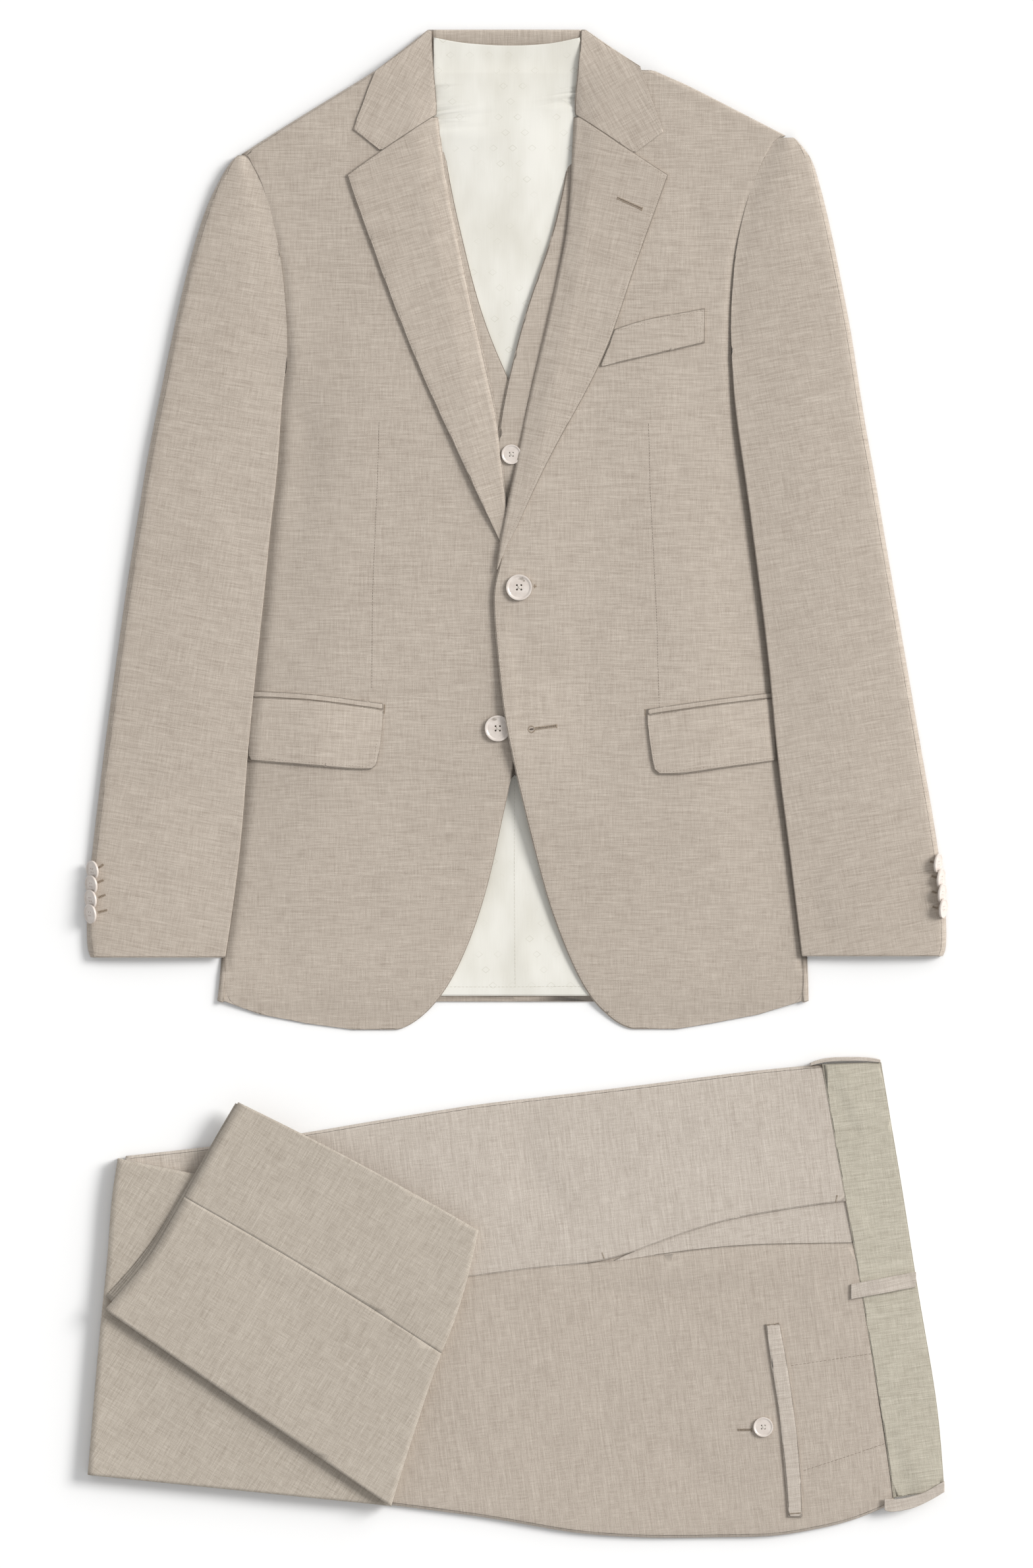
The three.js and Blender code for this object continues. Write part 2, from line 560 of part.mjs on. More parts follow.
/** Past the fronts the leaf turns down over the shoulder to the back. */
const collarRoll = (bendY) => (y) => {
  const share = ease(bendY, bendY + 7, y) * (1 - 0.7 * ease(bendY + 8, COLLAR_TOP_Y, y));
  return { out: 0.5 + 5 * share, down: 0.1 + 7.6 * share };
};
const collarInner = (roll, notch, gorgeX, away) => cornered(
  upright({ y: [notch.y, GORGE_TOP_Y], x: [notch.x + away, gorgeX + away] }),
  roll,
);

add('jacket_collar_right', uprightPanel({
  from: NOTCH_RIGHT.y + GORGE_GAP, to: COLLAR_TOP_Y, left: COLLAR_EDGE_RIGHT,
  right: collarInner(ROLL_RIGHT, NOTCH_RIGHT, GORGE_X.right, -GORGE_GAP),
  top: collarTop(frontTopRight), columns: 4, step: FINE_STEP,
  corners: [COLLAR_POINT_RIGHT_Y, GORGE_TOP_Y, COLLAR_BEND_RIGHT_Y],
  rollLeft: collarRoll(COLLAR_BEND_RIGHT_Y),
}), suiting);
add('jacket_collar_left', uprightPanel({
  from: NOTCH_LEFT.y + GORGE_GAP, to: COLLAR_TOP_Y,
  left: collarInner(ROLL_LEFT, NOTCH_LEFT, GORGE_X.left, GORGE_GAP),
  right: COLLAR_EDGE_LEFT,
  top: collarTop(frontTopLeft), columns: 4, step: FINE_STEP,
  corners: [COLLAR_POINT_LEFT_Y, GORGE_TOP_Y, COLLAR_BEND_LEFT_Y],
  rollRight: collarRoll(COLLAR_BEND_LEFT_Y),
}), suiting);

// The stand goes round the back of the neck and rises to the fold between the leaves.
add('jacket_collar_stand', levelPanel({
  from: STAND.left, to: STAND.right, low: () => STAND.foot, high: () => STAND.top,
  top: standTop, wall: LINING, columns: 6, step: STEP,
  rollRight: steady({ out: 3, down: 4 }),
}), suiting);

// ---------------------------------------------------------------- sleeves

const SLEEVE_OUTER_RIGHT = upright({
  y: [486, 480, 470, 459, 445, 426, 403, 354, 300, 249, 216, 158, 97, 35, -18, -57, -106, -127],
  x: [-213, -221, -228, -235, -240, -246, -252, -263.5, -274.5, -285, -290, -299.5, -308, -316.5,
    -323, -327.5, -332, -332.3],
});
const SLEEVE_OUTER_LEFT = upright({
  y: [500, 489, 479, 468, 447, 417, 391, 356, 314, 280, 252, 198, 96, 20, -31, -54, -104, -126],
  x: [212, 223.5, 229, 233, 238, 244.5, 249.5, 256.5, 263, 268, 273.5, 282.5, 300, 313, 322,
    325.5, 332, 332.8],
});
const SLEEVE_INNER_RIGHT = upright({
  y: [331, 290, 249, 204, 140, 96, 19, -34, -87, -134],
  x: [-178, -183, -185, -190.5, -196.5, -201.5, -209, -213, -219, -226],
});
const SLEEVE_INNER_LEFT = upright({
  y: [331, 297, 273, 244, 177, 96, 21, -30, -66, -108, -134],
  x: [167, 169, 172, 176.5, 185.5, 195.5, 202.5, 209, 213.5, 218.5, 221.5],
});
const CUFF_Y = { right: -134, left: -133 };
const SLEEVE_HEAD_Y = { right: 484, left: 497.5 };
const UNDER_SLEEVE_HEAD_Y = { right: 467, left: 484 };
const SLEEVE_LEVEL = curve([-134, 100, 331, 470, 502], [8.2, 9.4, 9.8, 9.2, 8.4]);
const SLEEVE_CROWN = 1.4;

/** Upper face of a sleeve: level along it, a little fuller at the middle of its width. */
function sleeveTop(outer, inner) {
  return (x, y) => {
    const share = THREE.MathUtils.clamp((x - outer(y)) / (inner(y) - outer(y)), 0, 1);
    return SLEEVE_LEVEL(y) + SLEEVE_CROWN * Math.sin(Math.PI * share) ** 2;
  };
}

/** The outer edge turns down to the under sleeve; near the shoulder point there is less room. */
const outerRoll = (shoulderY) => (y) => {
  const share = 1 - 0.8 * ease(shoulderY - 50, shoulderY, y);
  return { out: 6.5 * share, down: SLEEVE_LEVEL(y) - CLOTH - GAP * 1.5 };
};

/** The inner edge is sewn level to the armhole, and below the armpit folds over the body. */
const innerRoll = (y) => {
  const share = 1 - ease(ARMPIT_Y - 26, ARMPIT_Y - 4, y);
  return { out: 0.4 + 2.8 * share, down: 0.05 + 2.2 * share };
};

/** The cuff's outer corner is rounded over its last few millimetres. */
const CUFF_CORNER = { start: -122, end: -133, depth: 4 };
function cuffCorner(outer, y, toward) {
  const share = 1 - ease(CUFF_CORNER.end, CUFF_CORNER.start, y);
  return outer(y) + toward * CUFF_CORNER.depth * share ** 2;
}

const sleeveRightEdges = {
  outer: (y) => cuffCorner(SLEEVE_OUTER_RIGHT, y, 1),
  inner: cornered(ARMHOLE_RIGHT, SLEEVE_INNER_RIGHT),
};
const sleeveLeftEdges = {
  outer: (y) => cuffCorner(SLEEVE_OUTER_LEFT, y, -1),
  inner: cornered(ARMHOLE_LEFT, SLEEVE_INNER_LEFT),
};
const CUFF_ROUND_Y = -127;
const SLEEVE_STATIONS_RIGHT = [...ARMHOLE_STATIONS_RIGHT, CUFF_ROUND_Y];
const SLEEVE_STATIONS_LEFT = [...ARMHOLE_STATIONS_LEFT, CUFF_ROUND_Y];

add('jacket_sleeve_top_right', uprightPanel({
  from: CUFF_Y.right, to: SLEEVE_HEAD_Y.right, left: sleeveRightEdges.outer,
  right: sleeveRightEdges.inner, top: sleeveTop(SLEEVE_OUTER_RIGHT, sleeveRightEdges.inner),
  columns: 5, corners: SLEEVE_STATIONS_RIGHT,
  rollLeft: outerRoll(SHOULDER_POINT_RIGHT_Y), rollRight: innerRoll,
}), suiting);
add('jacket_sleeve_top_left', uprightPanel({
  from: CUFF_Y.left, to: SLEEVE_HEAD_Y.left, left: sleeveLeftEdges.inner,
  right: sleeveLeftEdges.outer, top: sleeveTop(SLEEVE_OUTER_LEFT, sleeveLeftEdges.inner),
  columns: 5, corners: SLEEVE_STATIONS_LEFT,
  rollLeft: innerRoll, rollRight: outerRoll(SHOULDER_POINT_LEFT_Y),
}), suiting);

// Under sleeves lie on the floor beside the body.
const UNDER_INSET = 1.0;
add('jacket_sleeve_under_right', uprightPanel({
  from: CUFF_Y.right, to: UNDER_SLEEVE_HEAD_Y.right, left: offset(sleeveRightEdges.outer, UNDER_INSET),
  right: (y) => cornered(ARMHOLE_RIGHT, BODY_SIDE_RIGHT)(y) - SEAM, top: backTop, columns: 1,
  corners: SLEEVE_STATIONS_RIGHT,
}), suiting);
add('jacket_sleeve_under_left', uprightPanel({
  from: CUFF_Y.left, to: UNDER_SLEEVE_HEAD_Y.left, right: offset(sleeveLeftEdges.outer, -UNDER_INSET),
  left: (y) => cornered(ARMHOLE_LEFT, BODY_SIDE_LEFT)(y) + SEAM, top: backTop, columns: 1,
  corners: SLEEVE_STATIONS_LEFT,
}), suiting);

// ---------------------------------------------------------------- pockets

// Chest welt: its inner end follows the lapel's edge.
add('jacket_chest_welt', levelPanel({
  from: 65.5, to: 145.5, low: level({ x: [65.5, 145.5], y: [323, 341.5] }),
  high: level({ x: [65.5, 76, 145.5], y: [324, 351.5, 368] }),
  top: laidOn(frontTopLeft, CLOTH), columns: 2, corners: [76], step: FINE_STEP,
}), suiting);

// Hip pockets: a jet sewn along the mouth, and the flap that comes out from under it.
const HIP_POCKETS = [
  {
    side: 'right', from: -208, to: -103.5, surface: frontTopRight,
    jetTop: { x: [-208, -174, -102], y: [72, 70.5, 62] },
    jetFoot: { x: [-208, -168, -103], y: [67, 65.3, 57.2] },
    flapFoot: {
      x: [-208, -181, -155, -118, -112, -109, -107, -105, -103.5],
      y: [18.4, 16.3, 14.3, 11.4, 12.0, 14.5, 21, 36, 54],
    },
  },
  {
    side: 'left', from: 101.5, to: 201, surface: frontTopLeft,
    jetTop: { x: [100, 153, 201], y: [57.8, 65.3, 71.2] },
    jetFoot: { x: [101, 153, 201], y: [53, 60.7, 66.6] },
    flapFoot: {
      x: [101.5, 102.8, 104.8, 107, 110.5, 122, 153, 201],
      y: [50, 37.7, 20.4, 11, 7.9, 7.7, 11.7, 18.2],
    },
  },
];
for (const { side, from, to, surface, jetTop, jetFoot, flapFoot } of HIP_POCKETS) {
  const mouth = level(jetFoot);
  add(`jacket_pocket_jet_${side}`, levelPanel({
    from, to, low: offset(mouth, SEAM), high: level(jetTop), top: laidOn(surface, LINING),
    wall: LINING, columns: 1, step: FINE_STEP * 1.5,
  }), suiting);
  add(`jacket_pocket_flap_${side}`, levelPanel({
    from, to, low: level(flapFoot), high: mouth, top: laidOn(surface, LINED), wall: LINED,
    columns: 4, step: FINE_STEP, corners: flapFoot.x.slice(1, -1),
  }), suiting);
}

// ---------------------------------------------------------------- buttons

/** A four-hole button with a raised rim, its back at z = 0. */
function buttonGeometry({ radius, thick, dish, rim, pitch, hole }) {
  const profile = [
    [0, 0], [radius - 0.6, 0], [radius, 0.8], [radius - 0.4, thick],
    [radius - rim, thick], [radius - rim - 1, thick - dish], [0, thick - dish],
  ].map(([r, z]) => toVector(r, z));
  const lathe = new THREE.LatheGeometry(profile, BUTTON_SIDES).rotateX(Math.PI / 2);
  let solid = toSolid(closed(lathe));
  for (const [x, y] of [[1, 1], [-1, 1], [-1, -1], [1, -1]]) {
    const drill = new THREE.CylinderGeometry(hole, hole, thick * 3, HOLE_SIDES).rotateX(Math.PI / 2);
    drill.translate((x * pitch) / 2 * Math.SQRT2, (y * pitch) / 2 * Math.SQRT2, thick / 2);
    solid = solid.subtract(toSolid(closed(drill)));
  }
  return toGeometry(solid);
}

const SHANK = 0.5;
function addButton(name, size, x, y, z) {
  const mesh = add(name, buttonGeometry(size), horn);
  mesh.position.set(x, y, z);
  return mesh;
}

const UPPER_BUTTON = { x: 2, y: 152 };
addButton('jacket_button_upper', FRONT_BUTTON, UPPER_BUTTON.x, UPPER_BUTTON.y,
  frontTopLeft(UPPER_BUTTON.x, UPPER_BUTTON.y) + SHANK);
addButton('jacket_button_lower', FRONT_BUTTON, LOWER_BUTTON.x, LOWER_BUTTON.y,
  frontTopRight(LOWER_BUTTON.x, LOWER_BUTTON.y) + GAP);

const WAISTCOAT_BUTTONS = { count: 5, x: -4, top: 255, pitch: 51 };
for (let i = 0; i < WAISTCOAT_BUTTONS.count; i += 1) {
  const { x, top, pitch } = WAISTCOAT_BUTTONS;
  addButton(`waistcoat_button_${i + 1}`, SMALL_BUTTON, x, top - i * pitch, waistcoatTopLeft(x) + GAP);
}

// Cuff buttons: four on each sleeve, each lapping the next, on the turn of the outer edge.
const CUFF_LAP = 0.12; // radians
const CUFFS = [
  {
    side: 'right', toward: -1, tilt: 0.95, top: -66.8, pitch: 11.2,
    x: [-327.6, -328.5, -329, -329.2], z: [7.7, 8.1, 8.4, 9],
  },
  {
    side: 'left', toward: 1, tilt: 1.17, top: -61.2, pitch: 11.6,
    x: [325.6, 327.9, 328.7, 329.6], z: [8.9, 7.9, 9.3, 9.5],
  },
];
for (const { side, toward, tilt, top, pitch, x, z } of CUFFS) {
  x.forEach((across, i) => {
    const mesh = addButton(`jacket_cuff_button_${side}_${i + 1}`, CUFF_BUTTON,
      across, top - i * pitch, z[i]);
    mesh.rotation.set(CUFF_LAP, toward * tilt, 0, 'YXZ');
  });
}

// ---------------------------------------------------------------- trousers outline

const FRONT_CREASE = level({
  x: [-310, -237, -162, -115, -75, -24, 8, 100, 187, 239],
  y: [-289, -281, -270, -262, -255.5, -247.5, -244, -233, -222, -217],
});
const BACK_CREASE = level({
  x: [-332, -214, -111, -12, 55, 123, 151, 190, 210, 226, 245, 273, 293.5],
  y: [-534, -545, -556.5, -569.5, -581, -584, -583, -583, -582, -578, -575, -566.5, -556],
});
const SIDE_SEAM = level({
  x: [-332, -200, -38, 8, 49, 70, 106, 149, 192, 262, 300],
  y: [-402, -396, -381.5, -375, -371.5, -370, -365, -359.5, -356.5, -355.5, -355],
});
const POCKET_MOUTH = level({
  x: [70, 106, 135, 163, 192, 221, 264],
  y: [-370, -355.5, -345, -336.5, -331.5, -326.5, -321.5],
});
const WAIST_SEAM = upright({
  y: [-217, -252, -280, -308, -354, -398, -440, -475, -509, -556],
  x: [238, 244.5, 248.5, 253.5, 262, 269.5, 276, 282, 288, 293.5],
});
const WAIST_EDGE = upright({
  y: [-215, -240, -276, -311, -350, -390, -434, -475, -509, -540, -549],
  x: [282, 286, 292, 298, 304, 310, 318, 324.5, 329.5, 331, 331],
});
const WAIST_TOP_Y = -217;
const WAIST_FOOT_Y = -552;

// ---------------------------------------------------------------- legs

const LEGS_CORE = 5.6; // the right leg's two walls and the left leg's hidden one
const LEG_FLOOR = LEGS_CORE + GAP;
const LEG_CROWN = 1.6;
const POCKET_LIFT = { near: 6, far: 46 };
const FOLD_X = curve([-534, -425, -360, -322, -290], [-331.8, -322.5, -316, -313.5, -308.5]);
const CREASE_ROLL = steady({ out: 4, down: 4.4 });
const WAIST_SET_BACK = 0.4;

/** Upper face of the left leg: a little fuller between its creases. */
function legTop(x, y) {
  const share = THREE.MathUtils.clamp((y - BACK_CREASE(x)) / (FRONT_CREASE(x) - BACK_CREASE(x)), 0, 1);
  return LEG_FLOOR + CLOTH + LEG_CROWN * Math.sin(Math.PI * share) ** 2;
}

/** The front panel laps the pocket facing, so it rises towards the pocket's mouth. */
function frontLegTop(x, y) {
  const near = 1 - ease(POCKET_LIFT.near, POCKET_LIFT.far, y - POCKET_MOUTH(x));
  return legTop(x, y) + (LINING + GAP) * near * ease(52, 84, x);
}

// Each edge of a leg starts inside the knee's fold and ends at the waist seam, which slants.
const CORE_INSET = 2.2;
const CORE_ROUND = steady({ out: 4, down: 3.2 });

/** Point at a share of the way from the fold at the left to the waist seam at the right. */
function legEdge({ edge, seamY, startX }, share) {
  const x = THREE.MathUtils.lerp(startX, WAIST_SEAM(seamY) - WAIST_SET_BACK, share);
  return toVector(x, edge(x));
}

const LEG_STATIONS = 20;
function legPanel(name, low, high, top, options, material) {
  const geometry = panel({
    from: 1, to: 0, step: 1 / LEG_STATIONS,
    left: (share) => legEdge(low, share),
    right: (share) => legEdge(high, share),
    top, columns: 5, ...options,
  });
  return add(name, geometry, material);
}

const LEG_START = { back: -326, side: -314, front: -302.5 };
const backEdge = { edge: BACK_CREASE, seamY: WAIST_FOOT_Y, startX: LEG_START.back };
const seamBelow = { edge: offset(SIDE_SEAM, -SEAM / 2), seamY: -355, startX: LEG_START.side };
const frontEdge = { edge: FRONT_CREASE, seamY: WAIST_TOP_Y, startX: LEG_START.front };

legPanel('trousers_right_leg',
  { ...backEdge, edge: offset(BACK_CREASE, CORE_INSET) },
  { ...frontEdge, edge: offset(FRONT_CREASE, -CORE_INSET) },
  (x, y) => legTop(x, y) - CLOTH - GAP,
  { underside: () => 0, rollLeft: CORE_ROUND, rollRight: CORE_ROUND, step: 1 / 12 }, trouserCloth);
legPanel('trousers_left_back', backEdge, seamBelow, legTop, { rollLeft: CREASE_ROLL }, trouserCloth);

// The front panel follows the side seam up the leg and the pocket's mouth above it.
const mouthOrSeam = {
  edge: (x) => (x > POCKET_MOUTH.low ? POCKET_MOUTH(x) : SIDE_SEAM(x) + SEAM / 2),
  seamY: -321.5,
  startX: LEG_START.side,
};
legPanel('trousers_left_front', mouthOrSeam, frontEdge, frontLegTop, { rollRight: CREASE_ROLL },
  trouserCloth);

// The pocket's facing shows between the side seam and the mouth, and goes on under the front.
const FACING = { startX: 76, fullX: 130, under: 7, least: 1.2, seamY: -316 };
const facingFoot = { edge: offset(SIDE_SEAM, SEAM / 2), seamY: -355, startX: FACING.startX };
const facingHead = {
  edge: (x) => POCKET_MOUTH(x) + FACING.under * ease(FACING.startX, FACING.fullX, x) - FACING.least,
  seamY: FACING.seamY,
  startX: FACING.startX,
};
legPanel('trousers_pocket_facing', facingFoot, facingHead, (x, y) => legTop(x, y) - CLOTH + LINING,
  { wall: LINING, columns: 2, step: 1 / 12 }, trouserCloth);

// ---------------------------------------------------------------- waistband and belt loops

const BAND_FLOOR = 6.4;
const bandTop = () => BAND_FLOOR + GAP + BAND;
const BAND_STEP = STEP * 1.5;
// The band's ends slant: its outer edge sits this much higher than its seam.
const BAND_SLANT = curve([WAIST_FOOT_Y, WAIST_TOP_Y], [5.5, 1.5]);
const bandEdges = (inset) => ({
  from: WAIST_FOOT_Y + inset, to: WAIST_TOP_Y - inset, step: BAND_STEP,
  left: (y) => toVector(WAIST_SEAM(y) + WAIST_SET_BACK, y),
  right: (y) => toVector(WAIST_EDGE(y + BAND_SLANT(y)) - inset, y + BAND_SLANT(y)),
});
add('trousers_waistband_right', panel({
  ...bandEdges(0.6), top: () => BAND_FLOOR, underside: () => 0, columns: 2,
}), bandCloth);
add('trousers_waistband_left', panel({
  ...bandEdges(0), top: bandTop, wall: BAND, columns: 3,
}), bandCloth);

// Front loop: stands out from the crease, seen on its edge. Side and back loops lie on the band.
const LOOP_STEP = 6;
const FRONT_LOOP = { foot: 1.5, head: 10.2 };
const LOOP_OUTER = level({
  x: [227.5, 233, 239, 251, 263, 276, 281.5],
  y: [-216.2, -213.9, -212.4, -211.7, -211.6, -212.3, -213.6],
});
const LOOP_DEPTH = level({ x: [227.5, 233, 239, 263, 276, 281.5], y: [1.6, 2.2, 2.4, 2.2, 2.2, 1.6] });
add('trousers_loop_front', levelPanel({
  from: LOOP_OUTER.low, to: LOOP_OUTER.high, low: (x) => LOOP_OUTER(x) - LOOP_DEPTH(x),
  high: LOOP_OUTER, top: () => FRONT_LOOP.head, underside: () => FRONT_LOOP.foot, columns: 1,
  step: LOOP_STEP,
}), trouserCloth);

const LOOP_WIDTH = 11.2;
const SIDE_LOOP = { from: 259, to: 309, y: -392.8, slope: 0.19 };
const LOOP_RISE = 1.2;
const sideLoopTop = (x) => bandTop() + GAP + LINED
  + LOOP_RISE * Math.sin(Math.PI * ease(SIDE_LOOP.from, SIDE_LOOP.to, x));
const sideLoopMiddle = (x) => SIDE_LOOP.y + SIDE_LOOP.slope * (x - SIDE_LOOP.from);
add('trousers_loop_side', levelPanel({
  from: SIDE_LOOP.from, to: SIDE_LOOP.to, low: (x) => sideLoopMiddle(x) - LOOP_WIDTH / 2,
  high: (x) => sideLoopMiddle(x) + LOOP_WIDTH / 2, top: sideLoopTop, wall: LINED, columns: 2,
  step: LOOP_STEP,
}), trouserCloth);

const BACK_LOOP_TOP = level({
  x: [285, 293.5, 307, 320, 326, 331],
  y: [-553.2, -553.8, -551, -546.5, -542, -539.5],
});
const BACK_LOOP_FOOT = level({ x: [285, 288, 303, 320, 331], y: [-561.5, -563, -561, -554, -547.5] });
add('trousers_loop_back', levelPanel({
  from: BACK_LOOP_TOP.low, to: BACK_LOOP_TOP.high, low: BACK_LOOP_FOOT, high: BACK_LOOP_TOP,
  top: () => bandTop() + GAP + LINED, wall: LINED, columns: 2, step: LOOP_STEP,
}), trouserCloth);

// ---------------------------------------------------------------- back pocket

const WELT_LEFT = upright({
  y: [-418, -448, -479, -512, -544, -567],
  x: [193, 197, 202.5, 206, 209, 210.5],
});
const WELT_RIGHT = upright({
  y: [-418, -437, -473, -503, -527, -567],
  x: [203.5, 207.5, 213, 217, 219.5, 221],
});
add('trousers_back_welt', uprightPanel({
  from: WELT_LEFT.low, to: WELT_LEFT.high, left: WELT_LEFT, right: WELT_RIGHT,
  top: laidOn(legTop, CLOTH), columns: 2,
}), trouserCloth);
const BACK_BUTTON = { x: 191, y: -497.5 };
addButton('trousers_back_button', SMALL_BUTTON, BACK_BUTTON.x, BACK_BUTTON.y,
  legTop(BACK_BUTTON.x, BACK_BUTTON.y) + SHANK);

// ---------------------------------------------------------------- legs turned back

const TURNED = 5.0; // four walls pressed together
const TURNED_TOP = LEG_FLOOR + CLOTH + LEG_CROWN + GAP + TURNED;
// The slanting fold where the legs turn a second time, from the back crease to the front crease.
const TURN = upright({
  y: [-558, -528, -488, -449, -419, -382, -359, -345],
  x: [-97, -88, -75, -62, -49.5, -38, -32.5, -29.5],
});
const alongTurn = (share) => {
  const y = THREE.MathUtils.lerp(-558, -345, share);
  return toVector(TURN(y), y);
};
const KNEE_FOLD = { low: -534, high: -290, roll: { out: 4, down: 3 }, inset: 4.6 };
add('trousers_legs_turned', panel({
  from: 0, to: 1, step: 1 / 12,
  left: (share) => {
    const y = THREE.MathUtils.lerp(KNEE_FOLD.low, KNEE_FOLD.high, share);
    return toVector(FOLD_X(y), y);
  },
  right: alongTurn,
  top: () => TURNED_TOP,
  // Outside the ends of the legs the fold closes down to the floor.
  underside: (x, y, inward) => (inward < KNEE_FOLD.inset ? REST : legTop(x, y) + GAP),
  columns: 6,
  rollLeft: steady(KNEE_FOLD.roll),
  insets: [KNEE_FOLD.inset],
}), trouserCloth);

// ---------------------------------------------------------------- lower legs, turned again

// Hem at the left, the slanting fold at the right; the side seam divides front from back.
const HEM_EDGE = upright({ y: [-406, -366, -320, -261, -246], x: [-318, -284, -257, -224, -215] });
const HEM_SEAM = { hem: 0.543, turn: 0.555, bow: 2.4 };
const LOWER_FLOOR = TURNED_TOP + GAP;
const HEM_LAYERS = 3;
const LOWER_TOP = LOWER_FLOOR + HEM_LAYERS * LAYER + CLOTH;
const alongHem = (share) => {
  const y = THREE.MathUtils.lerp(-406, -246, share);
  return toVector(HEM_EDGE(y), y);
};

/** One panel of the leg that shows, between two shares of the way up its hem and its fold. */
function lowerPanel(name, foot, head) {
  add(name, panel({
    from: 0, to: 1, step: 1 / 6,
    left: (s) => alongHem(THREE.MathUtils.lerp(foot.hem, head.hem, s)),
    right: (s) => alongTurn(THREE.MathUtils.lerp(foot.turn, head.turn, s)),
    top: () => LOWER_TOP, columns: 4, rollRight: steady({ out: 4, down: 2 }),
    bow: (s) => THREE.MathUtils.lerp(foot.bow, head.bow, s),
  }), trouserCloth);
}
const SEAM_SHARE = 0.0012; // half the seam, as a share of the hem
lowerPanel('trousers_lower_back', { hem: 0, turn: 0, bow: 0 },
  { hem: HEM_SEAM.hem - SEAM_SHARE, turn: HEM_SEAM.turn - SEAM_SHARE, bow: HEM_SEAM.bow });
lowerPanel('trousers_lower_front',
  { hem: HEM_SEAM.hem + SEAM_SHARE, turn: HEM_SEAM.turn + SEAM_SHARE, bow: HEM_SEAM.bow },
  { hem: 1, turn: 1, bow: HEM_SEAM.bow });

// The layers beneath slip out past the top hem, most of all near its foot.
const SLIP = [
  { foot: 6.2, middle: 2.6, head: 0.6 },
  { foot: 4.0, middle: 1.6, head: 0.4 },
  { foot: 1.9, middle: 1.7, head: 1.5 },
];
const HEM_OUTWARD = toVector(-0.84, 0.54);
SLIP.forEach(({ foot, middle, head }, i) => {
  const slip = curve([0, 0.5, 1], [foot, middle, head]);
  add(`trousers_lower_layer_${i + 1}`, panel({
    from: 0, to: 1, step: 1 / 6,
    left: (s) => alongHem(0.04 + 0.95 * s).addScaledVector(HEM_OUTWARD, slip(s)),
    right: (s) => alongTurn(0.02 + 0.96 * s).add(toVector(-5, -1)),
    top: () => LOWER_FLOOR + i * LAYER + CLOTH, columns: 2,
  }), trouserCloth);
});

// ---------------------------------------------------------------- the origin

// The origin is the middle of the underside of the whole set.
const box = new THREE.Box3().setFromObject(group);
const middle = box.getCenter(new THREE.Vector3());
group.position.set(-middle.x, -middle.y, -box.min.z);
group.updateMatrixWorld(true);

export default group;
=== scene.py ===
"""A three-piece suit laid out flat: the jacket over its waistcoat, and the folded trousers below."""

import math

import bmesh
import bpy
import numpy as np
from mathutils import Matrix, Vector
from mathutils.bvhtree import BVHTree


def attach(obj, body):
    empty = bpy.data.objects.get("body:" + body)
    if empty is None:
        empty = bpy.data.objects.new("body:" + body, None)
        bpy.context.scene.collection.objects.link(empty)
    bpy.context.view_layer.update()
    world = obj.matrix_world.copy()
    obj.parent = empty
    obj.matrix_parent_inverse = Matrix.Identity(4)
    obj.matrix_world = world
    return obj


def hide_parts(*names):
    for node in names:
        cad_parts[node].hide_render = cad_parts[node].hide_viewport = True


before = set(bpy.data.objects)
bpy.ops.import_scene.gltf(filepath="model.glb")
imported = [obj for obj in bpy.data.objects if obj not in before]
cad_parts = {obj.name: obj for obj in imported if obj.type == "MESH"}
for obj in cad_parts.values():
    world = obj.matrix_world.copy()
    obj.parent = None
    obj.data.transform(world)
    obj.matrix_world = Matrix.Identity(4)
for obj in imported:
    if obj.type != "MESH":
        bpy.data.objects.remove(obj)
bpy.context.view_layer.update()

# The table and its light. The suit lies on a plain white table top and is seen straight from
# above, under a lamp and a broad soft one at the upper right, and an even pale sky.
MM = 0.001
TABLE_SIZE = 14.0
TABLE_DROP = 0.4 * MM
TABLE_COLOUR = (0.93, 0.93, 0.93)
TABLE_ROUGH = 0.9
TABLE_SHINE = 0.1
VIEW_LENS = 200.0
VIEW_SENSOR = 36.0
VIEW_HEIGHT = 6.749
VIEW_X = 0.38 * MM
VIEW_Y = -0.108 * MM
LAMP_SLANT = math.radians(53)
LAMP_TURN = math.radians(24)
LAMP_SPREAD = math.radians(22)
LAMP_POWER = 2.05
LAMP_COLOUR = (1.0, 0.99, 0.975)
SOFT_SLANT = math.radians(66)
SOFT_TURN = math.radians(30)
SOFT_SPREAD = math.radians(52)
SOFT_POWER = 1.25
SKY_COLOUR = (0.99, 0.995, 1.0)
SKY_LIGHT = 0.56

scene = bpy.context.scene
scene.view_settings.view_transform = "Standard"
camera_data = bpy.data.cameras.new("camera")
camera_data.lens = VIEW_LENS
camera_data.sensor_width = VIEW_SENSOR
camera = bpy.data.objects.new("camera", camera_data)
camera.location = (VIEW_X, VIEW_Y, VIEW_HEIGHT)
scene.collection.objects.link(camera)
scene.camera = camera

for name, power, spread, slant, turn in (
    ("lamp", LAMP_POWER, LAMP_SPREAD, LAMP_SLANT, LAMP_TURN),
    ("soft_lamp", SOFT_POWER, SOFT_SPREAD, SOFT_SLANT, SOFT_TURN),
):
    lamp_data = bpy.data.lights.new(name, "SUN")
    lamp_data.energy = power
    lamp_data.angle = spread
    lamp_data.color = LAMP_COLOUR
    lamp = bpy.data.objects.new(name, lamp_data)
    lamp.rotation_euler = (0.0, slant, turn)
    scene.collection.objects.link(lamp)

world = bpy.data.worlds.new("sky")
world.use_nodes = True
sky = world.node_tree.nodes["Background"]
sky.inputs["Color"].default_value = (*SKY_COLOUR, 1.0)
sky.inputs["Strength"].default_value = SKY_LIGHT
scene.world = world


def deselect_all():
    """Leaves nothing selected, before a new piece is made."""
    for thing in bpy.context.selected_objects:
        thing.select_set(False)


